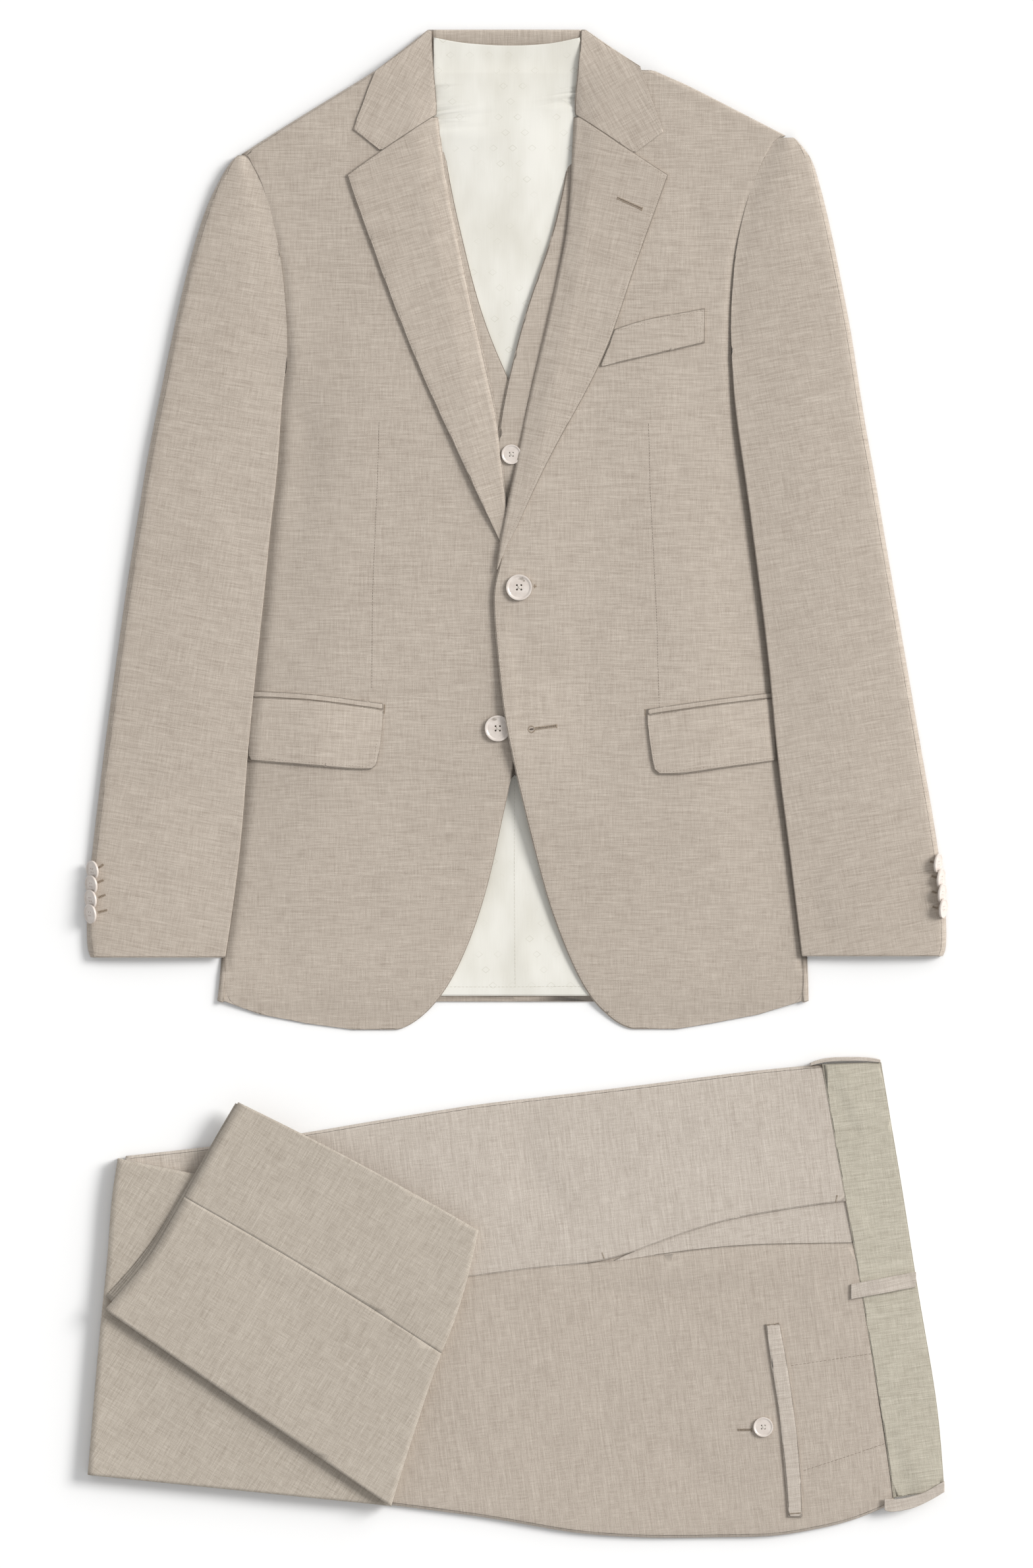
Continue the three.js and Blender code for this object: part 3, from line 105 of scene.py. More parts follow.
deselect_all()
bpy.ops.mesh.primitive_plane_add(size=TABLE_SIZE, location=(0, 0, -TABLE_DROP))
table_top = bpy.context.active_object
table_top.name = "table_top"
white_top = bpy.data.materials.new("white_top")
white_top.use_nodes = True
white_top_shader = white_top.node_tree.nodes["Principled BSDF"]
white_top_shader.inputs["Base Color"].default_value = (*TABLE_COLOUR, 1.0)
white_top_shader.inputs["Roughness"].default_value = TABLE_ROUGH
white_top_shader.inputs["Specular IOR Level"].default_value = TABLE_SHINE
table_top.data.materials.append(white_top)


# The jacket's back. Two panels of light wool meet in a seam down the middle and lie face down
# on the table, with a turned hem, so the whole jacket rests on them.

# How a solid's mesh is joined up: points this near, and triangles this flat and this square.
WELD = 0.15 * MM
QUAD_BEND = math.radians(45)
QUAD_SHAPE = math.radians(78)
# A face is a side wall under this much of facing up, and walls spread this far into the seams.
WALL_FACING = 0.7
SEAM_SPREAD = 0.26 * MM
# What stays sharp: edges bent this far, and points where the outline turns this far, or less far
# where it runs in short steps.
TURNED_EDGE = math.radians(33)
CORNER_TURN = math.cos(math.radians(48))
SHORT_EDGE = 3.0 * MM
SHORT_TURN = math.cos(math.radians(9))
FINE_CUTS = 2
# The rings that round a pressed edge over: each one's width, how far its outer line sinks, and the
# share of painted shade that it holds, a darker colour standing in for the shade along the edge.
EDGE_RINGS = ((0.30 * MM, 0.30 * MM, 1.0), (0.40 * MM, 0.07 * MM, 0.5))
RING_LIMIT = 2.0
# The least share of its sinking that a softly pressed edge keeps.
SOFT_SINK = 0.4
# Below this height creases fade out, towards the table.
FLOOR_BLEND = 6.0
JACKET_BACK_FLAT = {
    "jacket_back_right": (0.229, 0.721, 0.144),
    "jacket_back_left": (0.227, 0.721, 0.141),
}
# How far a crease bends, as a share of its length, and how quickly it fades at its ends.
CREASE_BEND = 0.18
CREASE_FADE = 12.0
# Each row is one soft crease in the jacket: its two ends, its half width, and its height, which
# is below 0 for a trough, in millimetres.
JACKET_CREASES = (
    (-196.0, 330.0, -172.0, 190.0, 11.0, -0.50),
    (-128.0, 300.0, -100.0, 236.0, 14.0, -0.45),
    (136.0, 452.0, 152.0, 405.0, 13.0, -0.55),
    (131.0, 300.0, 137.0, 205.0, 10.0, -0.45),
    (150.0, 290.0, 156.0, 226.0, 8.0, 0.30),
    (38.0, 176.0, 58.0, 96.0, 15.0, -0.35),
    (70.0, 122.0, 74.0, 72.0, 13.0, 0.25),
    (-84.0, 170.0, -70.0, 108.0, 17.0, 0.30),
    (-60.0, 60.0, -52.0, -30.0, 15.0, -0.28),
    (-150.0, 20.0, -110.0, -8.0, 12.0, -0.30),
    (110.0, -2.0, 172.0, 14.0, 12.0, -0.28),
    (-204.0, -120.0, -176.0, -154.0, 13.0, -0.50),
    (150.0, -90.0, 166.0, -150.0, 17.0, -0.30),
    (64.0, -92.0, 92.0, -150.0, 14.0, 0.30),
    (-280.0, 236.0, -206.0, 250.0, 12.0, -0.45),
    (-292.0, 168.0, -232.0, 182.0, 9.0, 0.32),
    (-310.0, 20.0, -238.0, -4.0, 15.0, -0.42),
    (-300.0, -52.0, -250.0, -62.0, 9.0, 0.25),
    (-296.0, -24.0, -282.0, -120.0, 12.0, -0.25),
    (206.0, 352.0, 262.0, 370.0, 10.0, -0.42),
    (196.0, 318.0, 250.0, 338.0, 8.0, 0.28),
    (214.0, 262.0, 272.0, 280.0, 12.0, -0.35),
    (228.0, 40.0, 306.0, 62.0, 14.0, -0.45),
    (236.0, 8.0, 300.0, 24.0, 9.0, 0.28),
    (232.0, -76.0, 246.0, -116.0, 9.0, -0.45),
    (-60.0, 500.0, -84.0, 440.0, 13.0, -0.30),
    (60.0, 420.0, 78.0, 380.0, 12.0, 0.25),
    (-30.0, 560.0, -20.0, 470.0, 16.0, 0.30),
    (24.0, 540.0, 30.0, 430.0, 12.0, -0.28),
)
# Each row is one long, low wave of the cloth as it lies: its length along X and Y, its start and
# its height, in millimetres.
CLOTH_WAVES = (
    (213.0, 571.0, 0.4, 0.16),
    (-347.0, 187.0, 1.9, 0.15),
    (119.0, -263.0, 3.1, 0.10),
    (83.0, 149.0, 5.2, 0.06),
    (-97.0, 71.0, 2.3, 0.05),
)
SUIT_DARK = (0.315, 0.261, 0.214)
SUIT_LIGHT = (0.598, 0.530, 0.456)
# The painted shade at pressed edges and in hollows: the near-black brown that the cloth's colour is
# blended towards, and how far at most.
EDGE_SHADE_COLOUR = (0.050, 0.036, 0.024)
EDGE_SHADE_DEPTH = 0.5
# The flecks of the melange: each one's stretch along the yarns, detail, seed and weight.
FLECKS = (
    ((75.0, 1700.0, 60.0), 2.0, 3.1, 1.00),
    ((1700.0, 85.0, 60.0), 2.0, 7.7, 0.75),
    ((30.0, 520.0, 30.0), 2.0, 12.9, 0.40),
    ((560.0, 34.0, 30.0), 1.0, 21.3, 0.22),
    ((1900.0, 1900.0, 300.0), 1.0, 33.7, 0.55),
    ((9.0, 14.0, 9.0), 2.0, 41.9, 0.12),
)
# How fine, uneven and strong the weave's diagonal threads are, and how far its relief stands.
THREAD_SCALE = 420.0
THREAD_WANDER = 2.0
THREAD_SHARE = 0.25
WOOL_RELIEF = (0.22, 0.25 * MM)


def calculate(tree, operation, *terms, kind="ShaderNodeMath"):
    """One step of reckoning in a node tree. Each term is a value or another node's output."""
    step = tree.nodes.new(kind)
    step.operation = operation
    for socket, term in zip(step.inputs, terms):
        if isinstance(term, bpy.types.NodeSocket):
            tree.links.new(term, socket)
        else:
            socket.default_value = term
    return step.outputs["Value"] if operation == "LENGTH" else step.outputs[0]


def blend_colours(tree, share, first, second):
    """A colour between two others. Each is a colour's three values or another node's output."""
    blend = tree.nodes.new("ShaderNodeMix")
    blend.data_type = "RGBA"
    tree.links.new(share, blend.inputs["Factor"])
    for name, colour in (("A", first), ("B", second)):
        if isinstance(colour, bpy.types.NodeSocket):
            tree.links.new(colour, blend.inputs[name])
        else:
            blend.inputs[name].default_value = (*colour, 1.0)
    return blend.outputs["Result"]


def noise_between(tree, vector, stretch, detail, seed):
    """Fine or long flecks: noise stretched by its own scale on each axis, centred on 0."""
    start = (seed, seed * 1.7, seed * 0.6)
    scaled = calculate(tree, "MULTIPLY_ADD", vector, stretch, start, kind="ShaderNodeVectorMath")
    noise = tree.nodes.new("ShaderNodeTexNoise")
    noise.inputs["Scale"].default_value = 1.0
    noise.inputs["Detail"].default_value = detail
    noise.inputs["Roughness"].default_value = 0.55
    tree.links.new(scaled, noise.inputs["Vector"])
    return calculate(tree, "SUBTRACT", noise.outputs["Fac"], 0.5)


def new_material(name, **settings):
    """A material with its shader set, as its tree, its shader and its place on the object."""
    material = bpy.data.materials.new(name)
    material.use_nodes = True
    tree = material.node_tree
    shader = tree.nodes["Principled BSDF"]
    for socket, value in settings.items():
        shader.inputs[socket.replace("_", " ")].default_value = value
    place = tree.nodes.new("ShaderNodeTexCoord").outputs["Object"]
    return material, tree, shader, place


def turned_place(tree, place, degrees):
    """The place on the object, turned in the cloth's plane."""
    turn = tree.nodes.new("ShaderNodeMapping")
    turn.inputs["Rotation"].default_value = (0.0, 0.0, math.radians(degrees))
    tree.links.new(place, turn.inputs["Vector"])
    return turn.outputs["Vector"]


def raise_threads(tree, shader, height, strength, depth):
    """Gives a shader the fine relief of its threads."""
    bump = tree.nodes.new("ShaderNodeBump")
    bump.inputs["Strength"].default_value = strength
    bump.inputs["Distance"].default_value = depth
    tree.links.new(height, bump.inputs["Height"])
    tree.links.new(bump.outputs["Normal"], shader.inputs["Normal"])


def weave_group():
    """Plain-woven melange wool: uneven light and dark yarns across and along the cloth."""
    group = bpy.data.node_groups.new("melange_weave", "ShaderNodeTree")
    for name, way, kind in (
        ("Vector", "INPUT", "NodeSocketVector"),
        ("Dark", "INPUT", "NodeSocketColor"),
        ("Light", "INPUT", "NodeSocketColor"),
        ("Colour", "OUTPUT", "NodeSocketColor"),
        ("Height", "OUTPUT", "NodeSocketFloat"),
    ):
        group.interface.new_socket(name, in_out=way, socket_type=kind)
    inside = group.nodes.new("NodeGroupInput")
    outside = group.nodes.new("NodeGroupOutput")
    vector = inside.outputs["Vector"]
    total = 0.5
    for stretch, detail, seed, weight in FLECKS:
        fleck = noise_between(group, vector, stretch, detail, seed)
        total = calculate(group, "MULTIPLY_ADD", fleck, weight, total)
    hue = blend_colours(group, total, inside.outputs["Dark"], inside.outputs["Light"])
    group.links.new(hue, outside.inputs["Colour"])
    threads = group.nodes.new("ShaderNodeTexWave")
    threads.wave_type = "BANDS"
    threads.bands_direction = "DIAGONAL"
    threads.inputs["Scale"].default_value = THREAD_SCALE
    threads.inputs["Distortion"].default_value = THREAD_WANDER
    group.links.new(vector, threads.inputs["Vector"])
    height = calculate(group, "MULTIPLY_ADD", threads.outputs["Fac"], THREAD_SHARE, total)
    group.links.new(height, outside.inputs["Height"])
    return group


weave = weave_group()


def wool(name, grain, dark, light):
    """One piece's wool, with its yarns turned to the angle that the piece was cut and lies at."""
    cloth, tree, shader, place = new_material(
        name, Roughness=0.82, Specular_IOR_Level=0.22, Sheen_Weight=0.12, Sheen_Roughness=0.45
    )
    pattern = tree.nodes.new("ShaderNodeGroup")
    pattern.node_tree = weave
    pattern.inputs["Dark"].default_value = (*dark, 1.0)
    pattern.inputs["Light"].default_value = (*light, 1.0)
    tree.links.new(turned_place(tree, place, -grain), pattern.inputs["Vector"])
    # Painted shade: the yarns' colour is blended towards a near-black brown by the shade painted on
    # the shell's points.
    held = tree.nodes.new("ShaderNodeAttribute")
    held.attribute_name = "painted_shade_amount"
    share = calculate(tree, "MULTIPLY", held.outputs["Fac"], EDGE_SHADE_DEPTH)
    tone = blend_colours(tree, share, pattern.outputs["Colour"], EDGE_SHADE_COLOUR)
    tree.links.new(tone, shader.inputs["Base Color"])
    raise_threads(tree, shader, pattern.outputs["Height"], *WOOL_RELIEF)
    return cloth


def spread_walls(bm):
    """Moves a piece's side walls out to meet its neighbours', so a seam closes to a fine groove."""
    moves = {}
    for vert in bm.verts:
        outward = Vector((0.0, 0.0, 0.0))
        for face in vert.link_faces:
            if abs(face.normal.z) < WALL_FACING:
                outward += Vector((face.normal.x, face.normal.y, 0.0))
        if outward.length > 0.1:
            moves[vert] = outward.normalized() * SEAM_SPREAD
    for vert, move in moves.items():
        vert.co += move


def is_corner(vert):
    """Whether a piece's outline turns sharply at a point, or is finely rounded there."""
    walls = [face for face in vert.link_faces if abs(face.normal.z) < WALL_FACING]
    outline = [
        edge.calc_length()
        for edge in vert.link_edges
        if 0 < sum(face in walls for face in edge.link_faces) < len(edge.link_faces)
    ]
    limit = SHORT_TURN if min(outline, default=1.0) < SHORT_EDGE else CORNER_TURN
    return any(first.normal.dot(other.normal) < limit for first in walls for other in walls)


def press_edges(shell, pressed):
    """Rounds a piece's upper edges over in two narrow rings, with painted shade in them."""
    bm = bmesh.new()
    bm.from_mesh(shell.data)
    tone = bm.verts.layers.float.new("painted_shade_amount")
    top = [face for face in bm.faces if face.material_index]
    turned = [edge for edge in bm.edges if edge.calc_face_angle(0.0) > TURNED_EDGE]
    outer = {
        vert
        for edge in turned
        for vert in edge.verts
        if any(face.material_index for face in vert.link_faces)
    }
    placed = set(outer)
    for width, drop, share in EDGE_RINGS if pressed else ():
        bmesh.ops.inset_region(
            bm, faces=top, thickness=width, use_boundary=True, use_even_offset=False
        )
        bm.normal_update()
        inner = set()
        for vert in outer:
            vert[tone] = pressed * share
            for edge in vert.link_edges:
                other = edge.other_vert(vert)
                if other in placed or not all(face.material_index for face in edge.link_faces):
                    continue
                inner.add(other)
                spoke = other.co - vert.co
                if spoke.length > RING_LIMIT * width:
                    other.co = vert.co + spoke.normalized() * width
            vert.co.z -= drop * (SOFT_SINK + (1 - SOFT_SINK) * pressed)
        placed |= inner
        outer = inner
    for face in bm.faces:
        face.material_index = 0
    bm.to_mesh(shell.data)
    bm.free()


def cloth_shell(node, material, levels=3, finer=None, pressed=1.0, firm=1.0):
    """The cloth of one piece: a closed thin shell on its solid's form, smoothed all over, with
    pressed edges. Where finer(a, b) holds, the solid's edge from a to b is first cut in three.
    From 0 to 1, pressed is how sharply the edges are pressed and how much painted shade they
    hold, and firm how well folds hold."""
    bm = bmesh.new()
    bm.from_mesh(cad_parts[node].data)
    bmesh.ops.remove_doubles(bm, verts=bm.verts, dist=WELD)
    bmesh.ops.join_triangles(
        bm, faces=bm.faces, angle_face_threshold=QUAD_BEND, angle_shape_threshold=QUAD_SHAPE
    )
    bm.normal_update()
    spread_walls(bm)
    if finer:
        chosen = [edge for edge in bm.edges if finer(edge.verts[0].co / MM, edge.verts[1].co / MM)]
        bmesh.ops.subdivide_edges(bm, edges=chosen, cuts=FINE_CUTS, use_grid_fill=True)
        bm.normal_update()
    corner = bm.verts.layers.float.new("crease_vert")
    for vert in bm.verts:
        vert[corner] = float(is_corner(vert))
    crease = bm.edges.layers.float.new("crease_edge")
    for edge in bm.edges:
        edge[crease] = firm * (edge.calc_face_angle(0.0) > TURNED_EDGE)
    for face in bm.faces:
        face.material_index = int(face.normal.z > WALL_FACING)
    mesh = bpy.data.meshes.new(node + "_cloth")
    bm.to_mesh(mesh)
    bm.free()
    if "custom_normal" in mesh.attributes:
        mesh.attributes.remove(mesh.attributes["custom_normal"])
    shell = bpy.data.objects.new(node + "_cloth", mesh)
    scene.collection.objects.link(shell)
    # Two slots, so that the marks on the upper faces outlive the smoothing.
    for _ in range(2):
        shell.data.materials.append(material)
    smooth = shell.modifiers.new("smooth", "SUBSURF")
    smooth.levels = levels
    smooth.render_levels = levels
    bpy.context.view_layer.objects.active = shell
    bpy.ops.object.modifier_apply(modifier="smooth")
    press_edges(shell, pressed)
    shell.data.materials.clear()
    shell.data.materials.append(material)
    shell.data.shade_smooth()
    return shell


def shell_points(shell):
    """A shell's points, in millimetres."""
    points = np.empty(len(shell.data.vertices) * 3)
    shell.data.vertices.foreach_get("co", points)
    return points.reshape(-1, 3) / MM


def place_points(shell, points):
    """Puts a shell's points where they are given, in millimetres."""
    shell.data.vertices.foreach_set("co", (points * MM).ravel())
    shell.data.update()


def smooth_step(low, high, value):
    """A soft step from 0 at low to 1 at high."""
    share = np.clip((value - low) / (high - low), 0.0, 1.0)
    return share * share * (3.0 - 2.0 * share)


def add_painted_shade(shell, tone):
    """Adds painted shade, a darker colour standing in for shade, at pressed edges and in hollows."""
    layer = shell.data.attributes["painted_shade_amount"].data
    held = np.empty(len(layer))
    layer.foreach_get("value", held)
    layer.foreach_set("value", np.clip(np.maximum(held, tone), 0.0, 1.0))


def settle(shell, creases):
    """Lays a shell's creases and waves in it. The pieces of one garment share them, so layers
    that lie on each other stay apart, and what lies on the table stays flat."""
    points = shell_points(shell)
    x = points[:, 0]
    y = points[:, 1]
    lift = np.zeros(len(x))
    for long_x, long_y, start, height in CLOTH_WAVES:
        lift += height * np.sin(2 * math.pi * (x / long_x + y / long_y) + start)
    for x0, y0, x1, y1, width, height in creases:
        along = np.array((x1 - x0, y1 - y0))
        length = math.hypot(*along)
        share = ((x - x0) * along[0] + (y - y0) * along[1]) / length**2
        bend = CREASE_BEND * length * np.sin(math.pi * np.clip(share, 0, 1)) * math.sin(x0 + y0)
        across = ((y - y0) * along[0] - (x - x0) * along[1]) / length - bend
        ends = 1 / (1 + np.exp(-CREASE_FADE * share)) / (1 + np.exp(CREASE_FADE * (share - 1)))
        lift += height * np.exp(-((across / width) ** 2)) * ends
    points[:, 2] += lift * np.clip(points[:, 2] / FLOOR_BLEND, 0, 1)
    place_points(shell, points)


shells = {}


def finish_cloth(node):
    """Hides a node's solid and attaches its shell to the root body."""
    shell = shells[node]
    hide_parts(node)
    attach(shell, "root")


suit_straight = wool("suit_wool_straight", 0.0, SUIT_DARK, SUIT_LIGHT)
for node, flat in JACKET_BACK_FLAT.items():
    shells[node] = cloth_shell(node, suit_straight, levels=2, pressed=0.4)
    settle(shells[node], JACKET_CREASES)
    finish_cloth(node)


# The back's lining. Cream satin with a faint woven figure is sewn inside the jacket's back, with
# a seam down the middle and a pleat at the hem, and shows between the fronts' rounded corners.
# The woven figure: how far apart its lozenge rings are, how far each row shifts, their size, how
# much they are squeezed in height, the width of their line, their colour and their strength.
FIGURE_STEP = (0.0150, 0.0120)
FIGURE_SHIFT = 0.37
FIGURE_RADIUS = 0.0030
FIGURE_SQUEEZE = 1.25
FIGURE_LINE = 0.00045
FIGURE_COLOUR = (0.560, 0.540, 0.450)
FIGURE_STRENGTH = 0.46
# Where the figure is worn away: the patches, and the range over which they fade in.
FIGURE_PATCHES = ((38.0, 38.0, 38.0), 1.0, 2.7)
FIGURE_WORN = (-0.06, 0.16)
# The satin's painted sheen and shade, in clouds, and its threads: each one's stretch, detail and
# seed. Then how strong the painted clouds are, how light the ground between them and how
# strong the threads.
SATIN_CLOUDS = ((30.0, 15.0, 12.0), 2.0, 5.3)
SATIN_THREADS = ((900.0, 60.0, 60.0), 1.0, 8.1)
CLOUD_SHARE = 2.6
GROUND_SHARE = 0.66
FINE_SHARE = 0.35
SATIN_RELIEF = (0.12, 0.1 * MM)
# The satin's own folds, as rows like the jacket's creases.
LINING_CREASES = (
    (12.0, -4.0, 24.0, -46.0, 6.0, -1.6),
    (4.0, -52.0, 30.0, -112.0, 6.0, -1.5),
    (8.0, -104.0, 13.0, -152.0, 9.0, 1.2),
    (-30.0, -60.0, -44.0, -130.0, 10.0, -0.9),
    (40.0, -110.0, 60.0, -150.0, 8.0, -0.9),
)
LINING_DARK = (0.690, 0.668, 0.595)
LINING_LIGHT = (0.815, 0.799, 0.738)


def remap(tree, value, low, high, at_low, at_high):
    """A value carried from one range to another."""
    ranged = tree.nodes.new("ShaderNodeMapRange")
    tree.links.new(value, ranged.inputs["Value"])
    limits = (("From Min", low), ("From Max", high), ("To Min", at_low), ("To Max", at_high))
    for name, limit in limits:
        ranged.inputs[name].default_value = limit
    return ranged.outputs["Result"]


def woven_figure(tree, place):
    """How strongly the figure shows: rows of small lozenge rings, worn away in patches."""
    split = tree.nodes.new("ShaderNodeSeparateXYZ")
    tree.links.new(place, split.inputs[0])
    row = calculate(tree, "MULTIPLY_ADD", split.outputs["Y"], 1 / FIGURE_STEP[1], 0.5)
    count = calculate(tree, "FLOOR", row)
    slide = FIGURE_SHIFT * FIGURE_STEP[0]
    shifted = calculate(tree, "MULTIPLY_ADD", count, slide, split.outputs["X"])
    away = 0.0
    for source, step, scale in (
        (shifted, FIGURE_STEP[0], 1.0),
        (split.outputs["Y"], FIGURE_STEP[1], FIGURE_SQUEEZE),
    ):
        wrapped = calculate(tree, "PINGPONG", source, step / 2)
        away = calculate(tree, "MULTIPLY_ADD", wrapped, scale, away)
    ring = calculate(tree, "COMPARE", away, FIGURE_RADIUS, FIGURE_LINE)
    patchy = noise_between(tree, place, *FIGURE_PATCHES)
    worn = remap(tree, patchy, *FIGURE_WORN, 0.0, FIGURE_STRENGTH)
    return calculate(tree, "MULTIPLY", ring, worn)


def lining_satin(name):
    """Cream satin with clouds of painted sheen and shade, and a sparse woven figure."""
    satin, tree, shader, place = new_material(
        name, Roughness=0.42, Specular_IOR_Level=0.45, Sheen_Weight=0.1
    )
    cloudy = noise_between(tree, place, *SATIN_CLOUDS)
    ground = calculate(tree, "MULTIPLY_ADD", cloudy, CLOUD_SHARE, GROUND_SHARE)
    threads = noise_between(tree, place, *SATIN_THREADS)
    fine = calculate(tree, "MULTIPLY_ADD", threads, FINE_SHARE, ground)
    hue = blend_colours(tree, fine, LINING_DARK, LINING_LIGHT)
    woven = blend_colours(tree, woven_figure(tree, place), hue, FIGURE_COLOUR)
    tree.links.new(woven, shader.inputs["Base Color"])
    raise_threads(tree, shader, fine, *SATIN_RELIEF)
    return satin


cream_satin = lining_satin("cream_satin")
shells["jacket_back_lining"] = cloth_shell("jacket_back_lining", cream_satin)
settle(shells["jacket_back_lining"], JACKET_CREASES + LINING_CREASES)
finish_cloth("jacket_back_lining")


# The jacket's side bodies. A narrow wool panel is sewn between the back and the front on each
# side, and rounds the edge that the jacket folds on.
# The hollow that a front sinks into beside its sleeve, at each height: how deep it is, how far it
# reaches, how deep the shade painted in it is and how far that painted shade reaches, in
# millimetres.
HOLLOW_Y = (-134.0, -110.0, -60.0, 0.0, 200.0, 331.0, 400.0, 450.0, 470.0)
HOLLOW = {
    "right": {
        "depth": (1.5, 1.7, 1.9, 2.2, 2.4, 1.9, 1.0, 0.3, 0.0),
        "reach": (4.0, 4.0, 4.5, 5.5, 5.5, 5.0, 4.0, 3.0, 3.0),
        "tone": (1.3, 1.2, 0.45, 0.30, 0.28, 0.25, 0.15, 0.0, 0.0),
        "shade_reach": (0.9, 0.9, 1.4, 2.2, 2.6, 2.6, 2.0, 2.0, 2.0),
    },
    "left": {
        "depth": (1.8, 2.0, 2.2, 2.4, 2.6, 2.4, 1.6, 0.6, 0.0),
        "reach": (3.5, 3.5, 4.0, 4.5, 4.5, 4.5, 4.0, 3.0, 3.0),
        "tone": (1.3, 1.2, 0.7, 0.45, 0.4, 0.4, 0.4, 0.2, 0.0),
        "shade_reach": (1.2, 1.2, 2.4, 3.2, 3.6, 3.6, 2.6, 2.0, 2.0),
    },
}
# The heights between which the hollow fades out below the cuffs.
CUFF_FADE = (-148.0, -135.0)
# How a side body's foot is drawn down to the hem, and its edge up to the front's seam.
SIDE_HEM_Y = (-150.0, -167.6)
SIDE_HEM_DROP = 1.3
SIDE_HEM_REACH = (-1.5, 4.5)
SIDE_SEAM_CLOSE = 0.25
# Points of an outline are at one height when they are this near.
SAME_HEIGHT = 0.06
# The way inwards from each sleeve, along X.
INWARDS = {"right": 1.0, "left": -1.0}


def side_edge(node, toward):
    """How far a solid reaches towards one side, at each of its heights, in millimetres."""
    corners = np.array([vert.co[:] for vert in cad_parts[node].data.vertices]) / MM
    heights = np.unique(np.round(corners[:, 1], 1))
    reach = []
    for height in heights:
        level = abs(corners[:, 1] - height) < SAME_HEIGHT
        reach.append(toward * max(toward * corners[level, 0]))
    return heights, np.array(reach)


sleeve_edges = {
    side: side_edge("jacket_sleeve_top_" + side, toward) for side, toward in INWARDS.items()
}


def sink_beside_sleeve(shell, side):
    """Sinks what lies beside and under a sleeve into the hollow along its inner edge, and paints
    shade into that hollow.
    """
    points = shell_points(shell)
    height = points[:, 1]
    gap = INWARDS[side] * (points[:, 0] - np.interp(height, *sleeve_edges[side]))
    at = {name: np.interp(height, HOLLOW_Y, row) for name, row in HOLLOW[side].items()}
    beside = smooth_step(*CUFF_FADE, height)
    away = np.maximum(gap, 0.0)
    points[:, 2] -= beside * at["depth"] * np.exp(-((away / at["reach"]) ** 2))
    place_points(shell, points)
    add_painted_shade(shell, beside * at["tone"] * np.exp(-((away / at["shade_reach"]) ** 2)))


def close_side_seam(shell, side):
    """Draws a side body up to the front's seam, and its foot down to the line of the hem."""
    points = shell_points(shell)
    toward = INWARDS[side]
    points[:, 0] += toward * SIDE_SEAM_CLOSE
    low = smooth_step(*SIDE_HEM_Y, points[:, 1])
    inward = toward * points[:, 0] - (toward * points[:, 0]).min()
    points[:, 1] -= SIDE_HEM_DROP * low * smooth_step(*SIDE_HEM_REACH, inward)
    place_points(shell, points)


for side in INWARDS:
    node = "jacket_side_" + side
    shells[node] = cloth_shell(node, suit_straight, levels=2, pressed=0.5)
    close_side_seam(shells[node], side)
    sink_beside_sleeve(shells[node], side)
    settle(shells[node], JACKET_CREASES)
    finish_cloth(node)


# The waistcoat's back. It is cut in the same cream satin, lies on the jacket's back inside the
# collar, and swells up to fill the neck opening.
# The roll lines of the lapels, and how high the satin swells between them.
ROLL_LINES = {
    "right": ((190.0, 278.0, 373.0, 460.0, 509.0, 578.0), (-5.0, -14.5, -35.5, -53.0, -60.0, -66.0)),
    "left": ((191.0, 284.0, 388.0, 504.0, 578.0), (-12.0, 6.0, 30.5, 44.0, 50.5)),
}
SATIN_Y = (195.0, 250.0, 440.0, 500.0, 550.0, 572.0, 590.0)
SATIN_RISE = (0.0, 1.9, 2.1, 4.3, 4.3, 1.8, 0.4)
SATIN_FADE = 9.0


def beyond_opening(x, y):
    """How far one place lies outside the opening between the roll lines."""
    return np.maximum(np.interp(y, *ROLL_LINES["right"]) - x, x - np.interp(y, *ROLL_LINES["left"]))


waistcoat_back = cloth_shell("waistcoat_back", cream_satin, pressed=0.0, firm=0.46)
shells["waistcoat_back"] = waistcoat_back
points = shell_points(waistcoat_back)
between = 1 - smooth_step(0.0, SATIN_FADE, beyond_opening(points[:, 0], points[:, 1]))
points[:, 2] += between * np.interp(points[:, 1], SATIN_Y, SATIN_RISE)
place_points(waistcoat_back, points)
settle(waistcoat_back, JACKET_CREASES)
finish_cloth("waistcoat_back")


# The waistcoat's fronts. Wool panels close the waistcoat down the middle with five buttons, and
# show only between the lapels.
WAISTCOAT_FRONT_FLAT = {
    "waistcoat_front_right": (0.172, 0.565, 0.0750),
    "waistcoat_front_left": (0.169, 0.565, 0.0755),
}
# How high the waistcoat swells between the roll lines.
SWELL_Y = (195.0, 235.0, 300.0, 340.0, 455.0, 480.0, 560.0)
SWELL_RISE = (0.0, 2.9, 2.9, 2.2, 2.0, 0.0, -0.6)
SWELL_FADE = 14.0
# Where shade is painted on the sliver of waistcoat between the lapels, and how deep.
SLIVER_Y = (226.0, 246.0)
SLIVER_SHADE = 0.8
# Which of the solid's edges cross the opening: how near its middle and how high, and how long.
OPENING_HALF = 62.0
OPENING_FOOT = 180.0
OPENING_EDGE = 14.0


def crosses_opening(start, end):
    """Whether an edge of the waistcoat's front runs across the strip at its opening."""
    near = min(abs(start.x), abs(end.x)) < OPENING_HALF and start.y > OPENING_FOOT
    return near and abs(start.x - end.x) > OPENING_EDGE


def waistcoat_swell(x, y):
    """How far the waistcoat swells up between the lapels at one place."""
    rise = np.interp(y, SWELL_Y, SWELL_RISE)
    return rise * (1 - smooth_step(0.0, SWELL_FADE, beyond_opening(x, y)))


